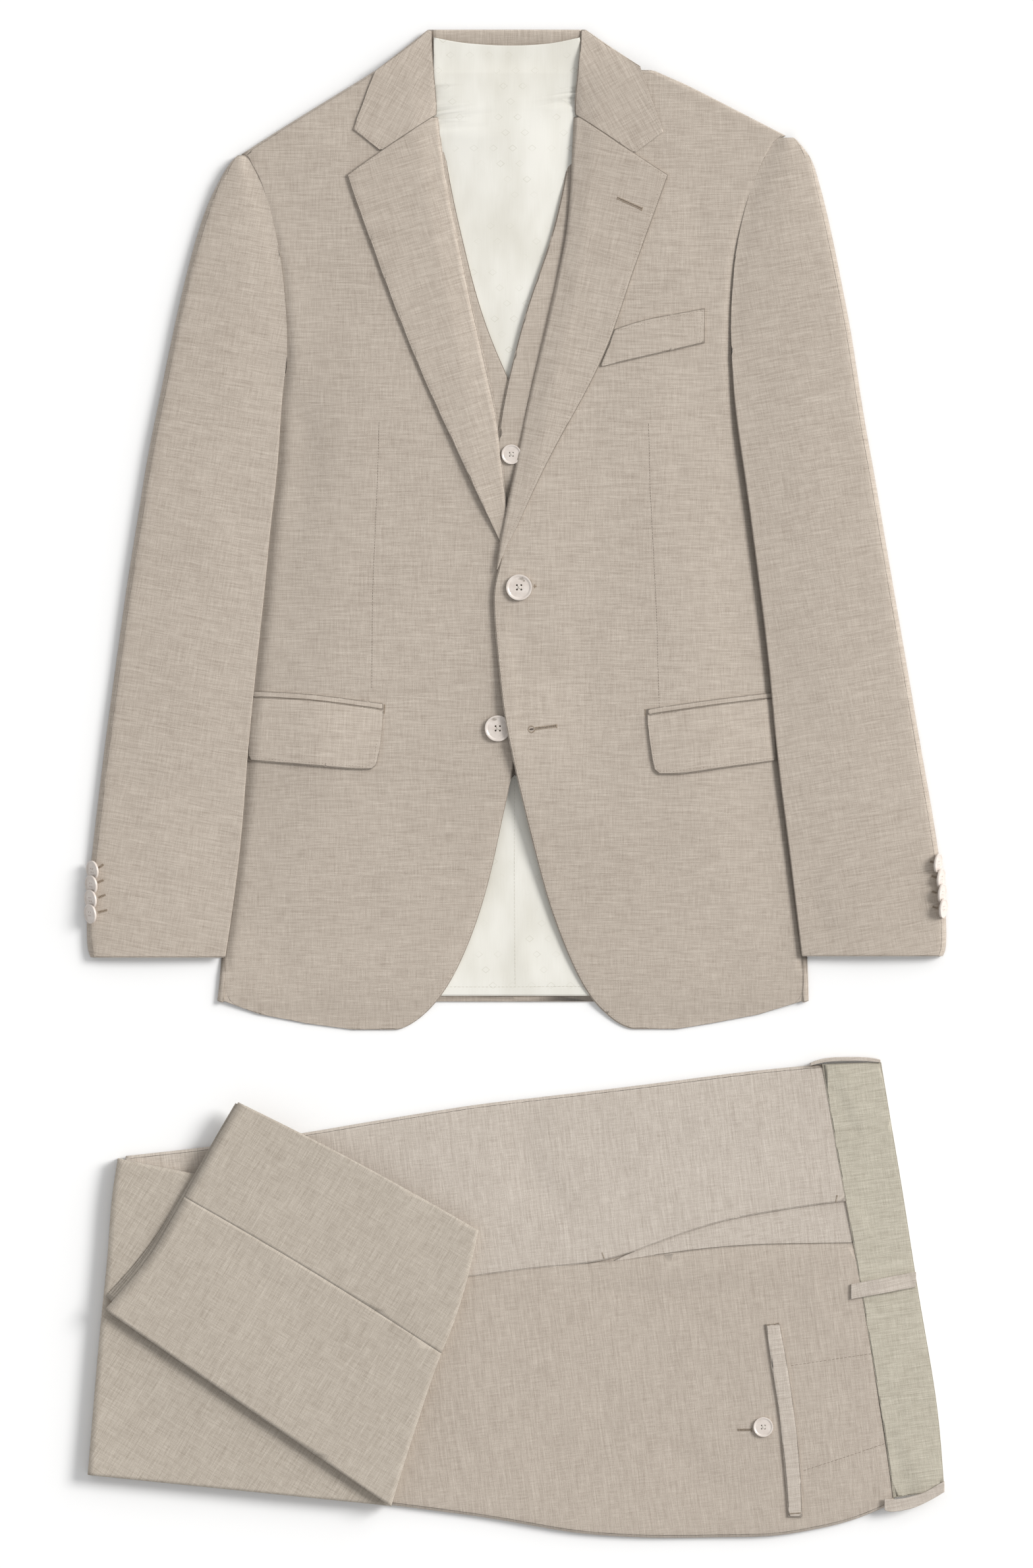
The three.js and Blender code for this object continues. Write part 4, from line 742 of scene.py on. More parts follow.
for node, flat in WAISTCOAT_FRONT_FLAT.items():
    shells[node] = cloth_shell(node, suit_straight, finer=crosses_opening)
    points = shell_points(shells[node])
    points[:, 2] += waistcoat_swell(points[:, 0], points[:, 1])
    place_points(shells[node], points)
    # Painted shade on the sliver between the lapels.
    add_painted_shade(shells[node], SLIVER_SHADE * (1 - smooth_step(*SLIVER_Y, points[:, 1])))
    settle(shells[node], JACKET_CREASES)
    finish_cloth(node)


# The jacket's fronts. Each is one wool panel from shoulder to rounded hem, darted at the waist;
# the wearer's left one laps over the right and buttons on it.
FRONT_FLAT = {"right": (0.236, 0.742, 0.130), "left": (0.241, 0.742, 0.130)}
# Which of the solid's edges cross the strip beside the sleeve: how near, how long and how level.
FIRST_STRIP = 40.0
FIRST_EDGE = 8.0
FIRST_SLANT = 1.6
# How far the fronts, lapels and collar ease down to the waistcoat along the roll lines, at each
# height, and how much further the rolled edge itself curls down.
ROLL_Y = (190.0, 215.0, 250.0, 300.0, 350.0, 520.0, 560.0)
ROLL_DROP = {
    "right": (0.0, 0.0, 0.0, 1.2, 2.1, 2.1, 0.0),
    "left": (0.0, 0.5, 1.8, 2.3, 2.1, 2.1, 0.0),
}
ROLL_CURL = (0.0, 0.3, 0.9, 1.2, 1.4, 1.2, 0.0)
ROLL_REACH = 20.0
CURL_REACH = 3.6
# How high the left front's edge stands off the right front, at each height.
LIFT_Y = (-110.0, -40.0, 30.0, 120.0, 165.0)
LIFT_RISE = (0.0, 0.5, 1.2, 1.5, 0.6)
LIFT_REACH = 15.0
armhole_edges = {
    side: side_edge("jacket_front_" + side, -toward) for side, toward in INWARDS.items()
}


def crosses_first_strip(start, end):
    """Whether an edge of a front runs across the strip beside the sleeve."""
    side = "right" if start.x < 0 else "left"
    edge_x = np.interp(start.y, *armhole_edges[side])
    across = abs(start.x - end.x)
    within = max(abs(start.x - edge_x), abs(end.x - edge_x)) < FIRST_STRIP
    return within and across > max(FIRST_EDGE, FIRST_SLANT * abs(start.y - end.y))


def ease_roll(shell, side, curl=1.0):
    """Eases a piece down towards the waistcoat along the roll line of its lapel."""
    points = shell_points(shell)
    height = points[:, 1]
    away = np.abs(points[:, 0] - np.interp(height, *ROLL_LINES[side]))
    eased = np.interp(height, ROLL_Y, ROLL_DROP[side]) * (1 - smooth_step(0.0, ROLL_REACH, away))
    curled = np.interp(height, ROLL_Y, ROLL_CURL) * np.clip(1 - away / CURL_REACH, 0.0, 1.0) ** 2
    points[:, 2] -= eased + curl * curled
    place_points(shell, points)


def lift_edge(shell, node):
    """Stands the lapping front's edge off the front below it."""
    points = shell_points(shell)
    inward = points[:, 0] - np.interp(points[:, 1], *side_edge(node, -1.0))
    rise = np.interp(points[:, 1], LIFT_Y, LIFT_RISE)
    points[:, 2] += rise * (1 - smooth_step(0.0, LIFT_REACH, inward))
    place_points(shell, points)


for side, flat in FRONT_FLAT.items():
    node = "jacket_front_" + side
    shells[node] = cloth_shell(node, suit_straight, finer=crosses_first_strip, pressed=0.7)
    if side == "left":
        lift_edge(shells[node], node)
    sink_beside_sleeve(shells[node], side)
    ease_roll(shells[node], side, curl=0.0)
    settle(shells[node], JACKET_CREASES)
    finish_cloth(node)


# The lapels. Each is the front's wool facing, turned outwards along the roll line and notched
# against the collar, with its yarns at a slant.
LAPEL_GRAIN = {"right": 17.0, "left": -12.0}
LAPEL_FLAT = {"right": (0.081, 0.348, 0.0164), "left": (0.081, 0.350, 0.0149)}
# The left lapel's lower end: where it starts, how long it is, how far it is drawn down, and how
# far towards which place it is drawn across.
LAPEL_END_Y = 200.0
LAPEL_END_LONG = 28.0
LAPEL_END_DROP = 7.0
LAPEL_END_X = -15.2
LAPEL_END_PULL = 0.8
# Where the right lapel's outer edge springs up from the front: its heights and its rise.
SPRING_Y = (196.0, 208.0, 245.0, 300.0)
SPRING_RISE = (1.0, 2.3, 1.7, 0.3)
SPRING_REACH = 26.0


def taper_end(shell):
    """Draws the left lapel's lower end out to a point along the front's edge."""
    points = shell_points(shell)
    share = np.clip((LAPEL_END_Y - points[:, 1]) / LAPEL_END_LONG, 0.0, 1.0)
    points[:, 1] -= LAPEL_END_DROP * share**2
    points[:, 0] += (LAPEL_END_X - points[:, 0]) * LAPEL_END_PULL * share**2
    place_points(shell, points)


def spring_edge(shell):
    """Lifts the right lapel's outer edge a little off the front near its lower end."""
    points = shell_points(shell)
    outward = np.interp(points[:, 1], *ROLL_LINES["right"]) - points[:, 0]
    rise = np.interp(points[:, 1], SPRING_Y, SPRING_RISE)
    points[:, 2] += rise * smooth_step(0.0, SPRING_REACH, outward)
    place_points(shell, points)


for side, flat in LAPEL_FLAT.items():
    node = "jacket_lapel_" + side
    lapel_wool = wool(node + "_wool", LAPEL_GRAIN[side], SUIT_DARK, SUIT_LIGHT)
    shells[node] = cloth_shell(node, lapel_wool)
    ease_roll(shells[node], side)
    if side == "left":
        taper_end(shells[node])
    else:
        spring_edge(shells[node])
    settle(shells[node], JACKET_CREASES)
    finish_cloth(node)


# The collar. Two leaves of wool, cut on the slant, are sewn round the neck from the lapels'
# notches, and the stand rises behind the neck between them.
COLLAR_GRAIN = {"right": 62.0, "left": -62.0}
COLLAR_FLAT = {"right": (0.101, 0.057, 0.0039), "left": (0.104, 0.062, 0.0043)}
STAND_GRAIN = 90.0
# How much longer than its solid the stand is, so its ends meet the collar's leaves.
STAND_REACH = 1.012
for side, flat in COLLAR_FLAT.items():
    node = "jacket_collar_" + side
    collar_wool = wool(node + "_wool", COLLAR_GRAIN[side], SUIT_DARK, SUIT_LIGHT)
    shells[node] = cloth_shell(node, collar_wool)
    ease_roll(shells[node], side)
    settle(shells[node], JACKET_CREASES)
    finish_cloth(node)

stand_wool = wool("collar_stand_wool", STAND_GRAIN, SUIT_DARK, SUIT_LIGHT)
stand = cloth_shell("jacket_collar_stand", stand_wool, pressed=0.0)
shells["jacket_collar_stand"] = stand
points = shell_points(stand)
middle = (points[:, 0].min() + points[:, 0].max()) / 2
points[:, 0] = middle + (points[:, 0] - middle) * STAND_REACH
place_points(stand, points)
settle(stand, JACKET_CREASES)
finish_cloth("jacket_collar_stand")


# The sleeves. Each is a soft wool tube, sewn from an upper and an under piece, set into the
# armhole and laid flat beside the body.
SLEEVE_GRAIN = {"right": -10.0, "left": 10.0}
# The band along a sleeve's inner edge that is kept full, up to what heights and by how much.
FIRM_BAND = 5.0
FIRM_TOP = (400.0, 440.0)
FIRM_SHARE = 0.85
FIRM_INSIDE = 0.3
# How far that edge is turned under, below what facing, and how far it laps over the front.
UNDERCUT = 0.9
UNDER_FACING = 0.3
SEAM_LAP = 0.35
# Surfaces are felt from this height, downwards.
ABOVE = 0.1
DOWN = Vector((0.0, 0.0, -1.0))
# How the sleeve's head is seated down on the front and laps over it, from what heights.
HEAD_Y = (325.0, 355.0)
HEAD_DROP = 0.85
HEAD_REACH = 9.0
HEAD_LAP = 0.7
HEAD_LAP_REACH = 4.0
# How far the sleeve's outer half fills out sideways.
SLEEVE_FILL = 1.5
SLEEVE_FILL_REACH = (10.0, 80.0)
# How the head's tip is drawn up and inwards over the front's shoulder point.
TIP_Y = (462.0, 488.0)
TIP_MOVE = (-0.8, 2.3)


def surface_tree(shell):
    """A shell's faces, ready to be felt from above."""
    corners = [vert.co for vert in shell.data.vertices]
    faces = [tuple(face.vertices) for face in shell.data.polygons]
    return BVHTree.FromPolygons(corners, faces)


def height_on(tree, x, y):
    """Height of a surface at one place, in millimetres, or None beside it."""
    hit = tree.ray_cast(Vector((x * MM, y * MM, ABOVE)), DOWN)[0]
    return hit.z / MM if hit else None


def height_over(trees, x, y):
    """Height of the uppermost of several surfaces at one place, or None beside them all."""
    felt = [height_on(tree, x, y) for tree in trees]
    return max((height for height in felt if height is not None), default=None)


def firm_inner_edge(shell, side):
    """Keeps a sleeve's upper piece full right up to its inner edge, and turns the edge under."""
    tree = surface_tree(shell)
    points = shell_points(shell)
    normals = np.empty(len(points) * 3)
    shell.data.vertices.foreach_get("normal", normals)
    toward = INWARDS[side]
    edge_x = np.interp(points[:, 1], *sleeve_edges[side])
    inward = toward * (edge_x - points[:, 0])
    share = 1 - smooth_step(*FIRM_TOP, points[:, 1])
    for i in np.nonzero((inward < FIRM_BAND) & (share > 0.0))[0]:
        full = height_on(tree, edge_x[i] - toward * FIRM_BAND, points[i, 1])
        here = height_on(tree, edge_x[i] - toward * max(inward[i], FIRM_INSIDE), points[i, 1])
        if full is None or here is None:
            continue
        points[i, 2] += FIRM_SHARE * share[i] * max(full - here, 0.0)
        points[i, 0] += toward * SEAM_LAP * share[i]
        if normals[3 * i + 2] < UNDER_FACING:
            points[i, 0] -= toward * UNDERCUT * share[i] * (1 - max(inward[i], 0.0) / FIRM_BAND)
    inside = np.maximum(inward, 0.0)
    seated = HEAD_DROP * smooth_step(*HEAD_Y, points[:, 1])
    points[:, 2] -= seated * np.exp(-((inside / HEAD_REACH) ** 2))
    lapped = HEAD_LAP * smooth_step(*HEAD_Y, points[:, 1])
    points[:, 0] += toward * lapped * np.exp(-((inside / HEAD_LAP_REACH) ** 2))
    tip = smooth_step(*TIP_Y, points[:, 1])
    points[:, 0] += toward * TIP_MOVE[0] * tip
    points[:, 1] += TIP_MOVE[1] * tip
    place_points(shell, points)


def fill_out(shell, side):
    """Fills a sleeve's outer half out sideways, as its soft tube lies."""
    points = shell_points(shell)
    toward = INWARDS[side]
    away = toward * (np.interp(points[:, 1], *sleeve_edges[side]) - points[:, 0])
    points[:, 0] -= toward * SLEEVE_FILL * smooth_step(*SLEEVE_FILL_REACH, away)
    place_points(shell, points)


for side, grain in SLEEVE_GRAIN.items():
    sleeve_wool = wool("sleeve_wool_" + side, grain, SUIT_DARK, SUIT_LIGHT)
    under = "table_top"
    for part, levels in (("under", 2), ("top", 3)):
        node = f"jacket_sleeve_{part}_{side}"
        shells[node] = cloth_shell(node, sleeve_wool, levels, pressed=0.4)
        if part == "top":
            firm_inner_edge(shells[node], side)
        fill_out(shells[node], side)
        settle(shells[node], JACKET_CREASES)
        finish_cloth(node)
        under = node + "_cloth"


# The chest pocket's welt. A strip of wool is folded double and set at a slant over the wearer's
# left breast, sewn down along its foot and its two ends.
shells["jacket_chest_welt"] = cloth_shell("jacket_chest_welt", suit_straight)
settle(shells["jacket_chest_welt"], JACKET_CREASES)
finish_cloth("jacket_chest_welt")


# The hip pockets. On each side a narrow jet of wool is sewn along the pocket's mouth, and a lined
# flap with rounded lower corners hangs from under it.
FLAP_GRAIN = {"right": -3.0, "left": 5.0}
# Painted light: how much lighter each side's pocket cloth is painted than the front's, for the
# light it catches as it stands off it.
FLAP_PAINTED_LIGHT = {"right": 1.08, "left": 1.01}
for side, gain in FLAP_PAINTED_LIGHT.items():
    dark = [gain * share for share in SUIT_DARK]
    light = [gain * share for share in SUIT_LIGHT]
    pocket_lit_wool = wool("pocket_lit_wool_" + side, FLAP_GRAIN[side], dark, light)
    for part in ("jet", "flap"):
        node = f"jacket_pocket_{part}_{side}"
        shells[node] = cloth_shell(node, pocket_lit_wool)
        sink_beside_sleeve(shells[node], side)
        settle(shells[node], JACKET_CREASES)
        finish_cloth(node)


# The trousers' legs. The wool trousers are folded in half along the crotch and laid on their
# side, so the wearer's left leg shows as a back and a front panel over the whole right leg.

# Each row is one crease in the trousers, as the jacket's.
TROUSER_CREASES = (
    (60.0, -377.0, 218.0, -366.0, 8.0, 0.85),
    (56.0, -392.0, 200.0, -386.0, 7.0, -0.70),
    (120.0, -400.0, 232.0, -388.0, 6.0, 0.45),
    (232.0, -372.0, 246.0, -420.0, 8.0, 0.35),
    (10.0, -250.0, 34.0, -330.0, 16.0, -0.80),
    (130.0, -268.0, 190.0, -250.0, 18.0, 0.55),
    (90.0, -430.0, 150.0, -452.0, 15.0, -0.40),
    (40.0, -440.0, 66.0, -520.0, 17.0, -0.40),
    (120.0, -516.0, 176.0, -560.0, 15.0, -0.60),
    (190.0, -470.0, 196.0, -545.0, 9.0, 0.35),
    (-40.0, -306.0, -70.0, -372.0, 15.0, -0.55),
    (-92.0, -396.0, -128.0, -446.0, 12.0, -0.55),
    (-216.0, -356.0, -170.0, -404.0, 12.0, -0.35),
    (-146.0, -320.0, -122.0, -356.0, 14.0, 0.35),
    (-300.0, -470.0, -252.0, -530.0, 15.0, -0.35),
    (-210.0, -520.0, -170.0, -552.0, 13.0, 0.30),
)
LEG_GRAIN = 97.0
# Painted light and shade: the front's wool is painted lighter, and the pair below, for the back
# panel and the right leg, darker, as lit and shaded copies of one wool.
LEG_DARK = (0.354, 0.301, 0.254)
LEG_LIGHT = (0.655, 0.592, 0.523)
LEG_SHADED_DARK = (0.322, 0.268, 0.222)
LEG_SHADED_LIGHT = (0.592, 0.525, 0.452)
# The line that the left leg's hem ends on, over the right leg, where shade is painted on the
# right leg: how far the deepest painted shade reaches, how deep it is, and the share of it that
# the rest keeps.
INNER_HEM = ((-312.0, -250.0, -232.0), (-289.0, -303.0, -307.0))
INNER_REACH = 14.0
INNER_SHADE = 0.55
INNER_REST = 0.45


def shade_inner_hem(shell):
    """Paints shade on the right leg along and beyond the line of the left leg's hem."""
    points = shell_points(shell)
    beyond = points[:, 0] < INNER_HEM[0][-1]
    above = points[:, 1] - np.interp(points[:, 0], *INNER_HEM)
    near = 1 - smooth_step(0.0, INNER_REACH, above)
    add_painted_shade(shell, INNER_SHADE * (INNER_REST + (1 - INNER_REST) * near) * beyond)


leg_wool = wool("leg_wool", LEG_GRAIN, LEG_DARK, LEG_LIGHT)
leg_shaded_wool = wool("leg_shaded_wool", LEG_GRAIN, LEG_SHADED_DARK, LEG_SHADED_LIGHT)
for node, material, under, levels in (
    ("trousers_right_leg", leg_shaded_wool, "table_top", 2),
    ("trousers_left_back", leg_shaded_wool, "trousers_right_leg_cloth", 3),
    ("trousers_left_front", leg_wool, "trousers_right_leg_cloth", 3),
):
    shells[node] = cloth_shell(node, material, levels, pressed=0.35)
    if node == "trousers_right_leg":
        shade_inner_hem(shells[node])
    settle(shells[node], TROUSER_CREASES)
    finish_cloth(node)


# The side pocket's facing. Wool backs the slanting mouth of the pocket, sewn to the pocket's bag,
# and shows there as a long wedge.
facing = "trousers_pocket_facing"
shells[facing] = cloth_shell(facing, leg_wool)
settle(shells[facing], TROUSER_CREASES)
finish_cloth(facing)


# The waistband. A straight band of firmer wool, a little greener, closes the top of the trousers
# on both sides of the fold.
BAND_DARK = (0.320, 0.288, 0.226)
BAND_LIGHT = (0.635, 0.594, 0.495)
BAND_GRAIN = 8.0
BAND_FLAT = {
    "trousers_waistband_right": (0.048, 0.341, 0.0163),
    "trousers_waistband_left": (0.048, 0.341, 0.0149),
}
# How the band laps over the panels: how far, over what breadth and how close down on them, with
# the panels felt at so many places this far in from its edge, and only above one height.
BAND_LAP = 1.5
BAND_REACH = 9.0
BAND_RISE = 0.30
BAND_SAMPLES = 24
BAND_FEEL = 3.0
BAND_UPPER = 7.7
BAND_PANELS = ("trousers_left_front", "trousers_pocket_facing", "trousers_left_back")
band_wool = wool("band_wool", BAND_GRAIN, BAND_DARK, BAND_LIGHT)


def sewn_edge(node):
    """The waistband's edge next to the panels, as heights and places across."""
    corners = np.array([vert.co[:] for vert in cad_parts[node].data.vertices]) / MM
    middle = np.polyval(np.polyfit(corners[:, 1], corners[:, 0], 2), corners[:, 1])
    edge = corners[corners[:, 0] < middle]
    edge = edge[np.argsort(edge[:, 1])]
    return edge[:, 1], edge[:, 0]


def lap_band(shell, node):
    """Laps the waistband's sewn edge over the raw edges of the panels, close down on them."""
    points = shell_points(shell)
    edge = sewn_edge(node)
    felt_y = []
    felt_z = []
    panels = [surface_tree(shells[panel]) for panel in BAND_PANELS]
    for y in np.linspace(edge[0][0], edge[0][-1], BAND_SAMPLES):
        height = height_over(panels, float(np.interp(y, *edge)) - BAND_FEEL, y)
        if height is not None:
            felt_y.append(y)
            felt_z.append(height)
    inward = points[:, 0] - np.interp(points[:, 1], *edge)
    share = 1 - smooth_step(0.0, BAND_REACH, inward)
    level = np.interp(points[:, 1], felt_y, felt_z) + BAND_RISE
    upper = points[:, 2] > BAND_UPPER
    points[:, 2] += upper * share * (level - points[:, 2])
    points[:, 0] -= BAND_LAP * share
    place_points(shell, points)


under = "table_top"
for node, flat in BAND_FLAT.items():
    shells[node] = cloth_shell(node, band_wool, pressed=0.6)
    settle(shells[node], TROUSER_CREASES)
    if node == "trousers_waistband_left":
        lap_band(shells[node], node)
    finish_cloth(node)
    under = node + "_cloth"


# The belt loops. Three narrow strips of wool, folded in three, cross the waistband and are sewn
# down at both ends.
LOOP_FLAT = {
    "trousers_loop_front": (0.058, 0.012, 0.00062),
    "trousers_loop_side": (0.050, 0.021, 0.00066),
    "trousers_loop_back": (0.046, 0.024, 0.00049),
}
LOOP_GRAIN = 12.0
loop_wool = wool("loop_wool", LOOP_GRAIN, LEG_DARK, LEG_LIGHT)
for node, flat in LOOP_FLAT.items():
    shells[node] = cloth_shell(node, loop_wool, pressed=0.0)
    settle(shells[node], TROUSER_CREASES)
    finish_cloth(node)


# The back pocket's welt. A long strip of wool, folded double, is set across the back panel over
# the pocket's mouth, and one button closes it.
BACK_WELT_GRAIN = 7.0
back_welt = "trousers_back_welt"
welt_wool = wool("back_welt_wool", BACK_WELT_GRAIN, LEG_DARK, LEG_LIGHT)
shells[back_welt] = cloth_shell(back_welt, welt_wool)
settle(shells[back_welt], TROUSER_CREASES)
finish_cloth(back_welt)


# The turned legs. Both wool legs are folded over at the knee and come back over the trousers at
# a slant, four cloths deep, with their hems at the left.
TURNED_GRAIN = 59.0
# Painted shade: the turned legs' wool is painted a little darker than the front's, a shaded copy of
# the same wool.
TURNED_DARK = (0.307, 0.261, 0.212)
TURNED_LIGHT = (0.583, 0.525, 0.451)
TURNED_FLAT = {
    "trousers_legs_turned": (0.318, 0.320, 0.0657),
    "trousers_lower_layer_1": (0.209, 0.268, 0.0462),
    "trousers_lower_layer_2": (0.209, 0.266, 0.0460),
    "trousers_lower_layer_3": (0.209, 0.264, 0.0459),
    "trousers_lower_back": (0.125, 0.268, 0.0287),
    "trousers_lower_front": (0.096, 0.235, 0.0205),
}
# How far each cloth is eased up off the one below it.
TURNED_EASE = {
    "trousers_lower_layer_2": 0.12,
    "trousers_lower_layer_3": 0.24,
    "trousers_lower_back": 0.75,
    "trousers_lower_front": 0.75,
}
turned_wool = wool("turned_leg_wool", TURNED_GRAIN, TURNED_DARK, TURNED_LIGHT)
under = "trousers_left_back_cloth"
for node, flat in TURNED_FLAT.items():
    shells[node] = cloth_shell(node, turned_wool, pressed=0.0)
    settle(shells[node], TROUSER_CREASES)
    points = shell_points(shells[node])
    points[:, 2] += TURNED_EASE.get(node, 0.0)
    place_points(shells[node], points)
    finish_cloth(node)
    under = node + "_cloth"


# The buttons. Each is turned from pale horn, dished inside a raised rim and drilled with four
# holes: two large ones and four small ones on each cuff close the jacket, five the waistcoat.

# The pattern's shape, as shares of its radius and thickness.
BUTTON_SIDES = 48
RIM_INSET = 0.10
DISH_INSET = 0.12
DISH_DEPTH = -0.30
MIDDLE_INSET = 0.34
MIDDLE_RISE = 0.06
HOLE_PLACE = 0.17
HOLE_RADIUS = 0.075
HOLE_SIDES = 12
DRILL_LONG = 3.0
EDGE_BEVEL = 0.035
BEVEL_CUTS = 2
SMOOTH_UNDER = math.radians(50)
HORN_DARK = (0.600, 0.525, 0.470)
HORN_LIGHT = (0.735, 0.672, 0.620)
STAIN_COLOUR = (0.26, 0.22, 0.18)
STAIN_STRENGTH = 0.72
# The horn's clouds and its stains' ragged edges: each one's stretch, detail and seed. Then how
# strong the clouds are and how light the horn between them.
HORN_CLOUDS = ((190.0, 260.0, 190.0), 2.0, 4.4)
HORN_RAGS = ((1400.0, 1400.0, 900.0), 2.0, 9.2)
HORN_MOTTLE = (1.5, 0.55)
# How ragged the stains are, and the range over which they fade out.
RAG_SHARE = 1.6
STAIN_FADE = (0.55, 1.1)
# The horn's grey-brown stains: each one's middle, in metres, and its half width and height.
STAINS = (
    ((0.0042, 0.1586), (0.0024, 0.0014)),
    ((0.0062, 0.1571), (0.0011, 0.0009)),
    ((-0.0169, 0.0499), (0.0023, 0.0013)),
    ((0.3300, -0.1060), (0.0009, 0.0009)),
)


def horn_material():
    """Pale horn, softly mottled and a little glossy, with its few stains."""
    horn, tree, shader, place = new_material("pale_horn", Roughness=0.34, Coat_Weight=0.25)
    cloudy = noise_between(tree, place, *HORN_CLOUDS)
    mottle = calculate(tree, "MULTIPLY_ADD", cloudy, *HORN_MOTTLE)
    colour = blend_colours(tree, mottle, HORN_DARK, HORN_LIGHT)
    ragged = noise_between(tree, place, *HORN_RAGS)
    kind = "ShaderNodeVectorMath"
    for middle, reach in STAINS:
        offset = calculate(tree, "SUBTRACT", place, (*middle, 0.0), kind=kind)
        squeeze = (1 / reach[0], 1 / reach[1], 0.0)
        squeezed = calculate(tree, "MULTIPLY", offset, squeeze, kind=kind)
        far = calculate(tree, "LENGTH", squeezed, kind=kind)
        edge = calculate(tree, "MULTIPLY_ADD", ragged, RAG_SHARE, far)
        mask = remap(tree, edge, *STAIN_FADE, STAIN_STRENGTH, 0.0)
        colour = blend_colours(tree, mask, colour, STAIN_COLOUR)
    tree.links.new(colour, shader.inputs["Base Color"])
    return horn


def apply_modifier(thing, kind, **settings):
    """Adds one modifier to an object and applies it."""
    modifier = thing.modifiers.new("shape", kind)
    for name, value in settings.items():
        setattr(modifier, name, value)
    bpy.context.view_layer.objects.active = thing
    bpy.ops.object.modifier_apply(modifier="shape")


def turned_button():
    """The pattern for every button: radius 1 and thickness 1, lying on its back."""
    deselect_all()
    bpy.ops.mesh.primitive_cylinder_add(vertices=BUTTON_SIDES, radius=1.0, depth=1.0)
    button = bpy.context.active_object
    bpy.ops.object.mode_set(mode="EDIT")
    bpy.ops.mesh.select_mode(type="FACE")
    bpy.ops.mesh.select_all(action="DESELECT")
    shape = bmesh.from_edit_mesh(button.data)
    for face in shape.faces:
        face.select_set(face.normal.z > WALL_FACING)
    bmesh.update_edit_mesh(button.data)
    bpy.ops.mesh.inset(thickness=RIM_INSET)
    bpy.ops.mesh.inset(thickness=DISH_INSET, depth=DISH_DEPTH)
    bpy.ops.mesh.inset(thickness=MIDDLE_INSET, depth=MIDDLE_RISE)
    bpy.ops.object.mode_set(mode="OBJECT")
    drills = []
    for across in (-HOLE_PLACE, HOLE_PLACE):
        for along in (-HOLE_PLACE, HOLE_PLACE):
            deselect_all()
            bpy.ops.mesh.primitive_cylinder_add(
                vertices=HOLE_SIDES,
                radius=HOLE_RADIUS,
                depth=DRILL_LONG,
                location=(across, along, 0.0),
            )
            drills.append(bpy.context.active_object)
    for drill in drills:
        apply_modifier(button, "BOOLEAN", object=drill, operation="DIFFERENCE", solver="EXACT")
    for drill in drills:
        bpy.data.objects.remove(drill)
    apply_modifier(button, "BEVEL", width=EDGE_BEVEL, segments=BEVEL_CUTS, limit_method="ANGLE")
    deselect_all()
    button.select_set(True)
    bpy.context.view_layer.objects.active = button
    bpy.ops.object.shade_smooth_by_angle(angle=SMOOTH_UNDER)
    return button


def button_place(node):
    """Where a button lies: its middle, its axis upwards, its radius and its thickness."""
    corners = np.array([vert.co[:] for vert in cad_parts[node].data.vertices])
    middle = (corners.min(axis=0) + corners.max(axis=0)) / 2
    axis = np.linalg.svd(corners - corners.mean(axis=0), full_matrices=False)[2][2]
    axis = axis if axis[2] > 0 else -axis
    along = (corners - middle) @ axis
    across = np.linalg.norm(corners - middle - np.outer(along, axis), axis=1)
    return Vector(middle), Vector(axis), across.max(), along.max() - along.min()


WAISTCOAT_BUTTONS = tuple(f"waistcoat_button_{i}" for i in range(1, 6))
CUFF_BUTTONS = tuple(
    f"jacket_cuff_button_{side}_{i}" for side in ("right", "left") for i in range(1, 5)
)
BUTTONS = ("jacket_button_upper", "jacket_button_lower", *WAISTCOAT_BUTTONS, *CUFF_BUTTONS)
pale_horn = horn_material()
button_pattern = turned_button()
tops = {}
for node in (*BUTTONS, "trousers_back_button"):
    middle, axis, radius, thick = button_place(node)
    if node in WAISTCOAT_BUTTONS:
        middle.z += waistcoat_swell(middle.x / MM, middle.y / MM) * MM
    mesh = button_pattern.data.copy()
    turn = Vector((0.0, 0.0, 1.0)).rotation_difference(axis).to_matrix().to_4x4()
    size = Matrix.Diagonal((radius, radius, thick, 1.0))
    mesh.transform(Matrix.Translation(middle) @ turn @ size)
    mesh.materials.clear()
    mesh.materials.append(pale_horn)
    button = bpy.data.objects.new(node + "_turned", mesh)
    scene.collection.objects.link(button)
    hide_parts(node)
    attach(button, "root")
    tops[node] = (middle, radius, thick)
bpy.data.objects.remove(button_pattern)


# The jacket's sewing. Brown silk closes its darts, worked holes take its buttons, and fine prick
# stitches hold the edges of its lapels, collar, fronts, pockets and flaps.

# Stitches vary in turn, in radians, and in size, as a share; each sits a share of its height in
# the cloth.
STITCH_SEED = 7
STITCH_TURN = 0.06
STITCH_SPREAD = 0.08
STITCH_SEAT = 0.25
# The thread's twist: its stretch, detail and seed, and how dark and light its flecks are.
TWIST = ((2600.0, 2600.0, 900.0), 1.0, 6.6)
TWIST_DARK = 0.6
TWIST_LIGHT = 1.4
# Each kind of stitch: its pitch, length, width and height, in millimetres.
PRICK = (2.6, 0.70, 0.36, 0.16)
DART = (2.2, 2.0, 0.34, 0.16)
WORKED = (0.62, 1.35, 0.50, 0.34)
# SLIT and EYE_SLIT lay near-black beads along the buttonholes' slits and in the keyhole's eye:
# painted shade in the openings.
SLIT = (1.5, 1.9, 0.42, 0.22)
EYE_SLIT = (0.6, 1.7, 1.5, 0.26)
# How far in from an edge its prick stitches run, and how far the path may swing at a corner.
EDGE_MARGIN = 2.0
WELT_MARGIN = 1.6
MITRE_LIMIT = 1.6
# Half the length of the bar that ends a worked hole, and how far its silk lies from its slit.
BAR_HALF = 1.5
HOLE_GAP = 0.72
CUFF_GAP = 0.45
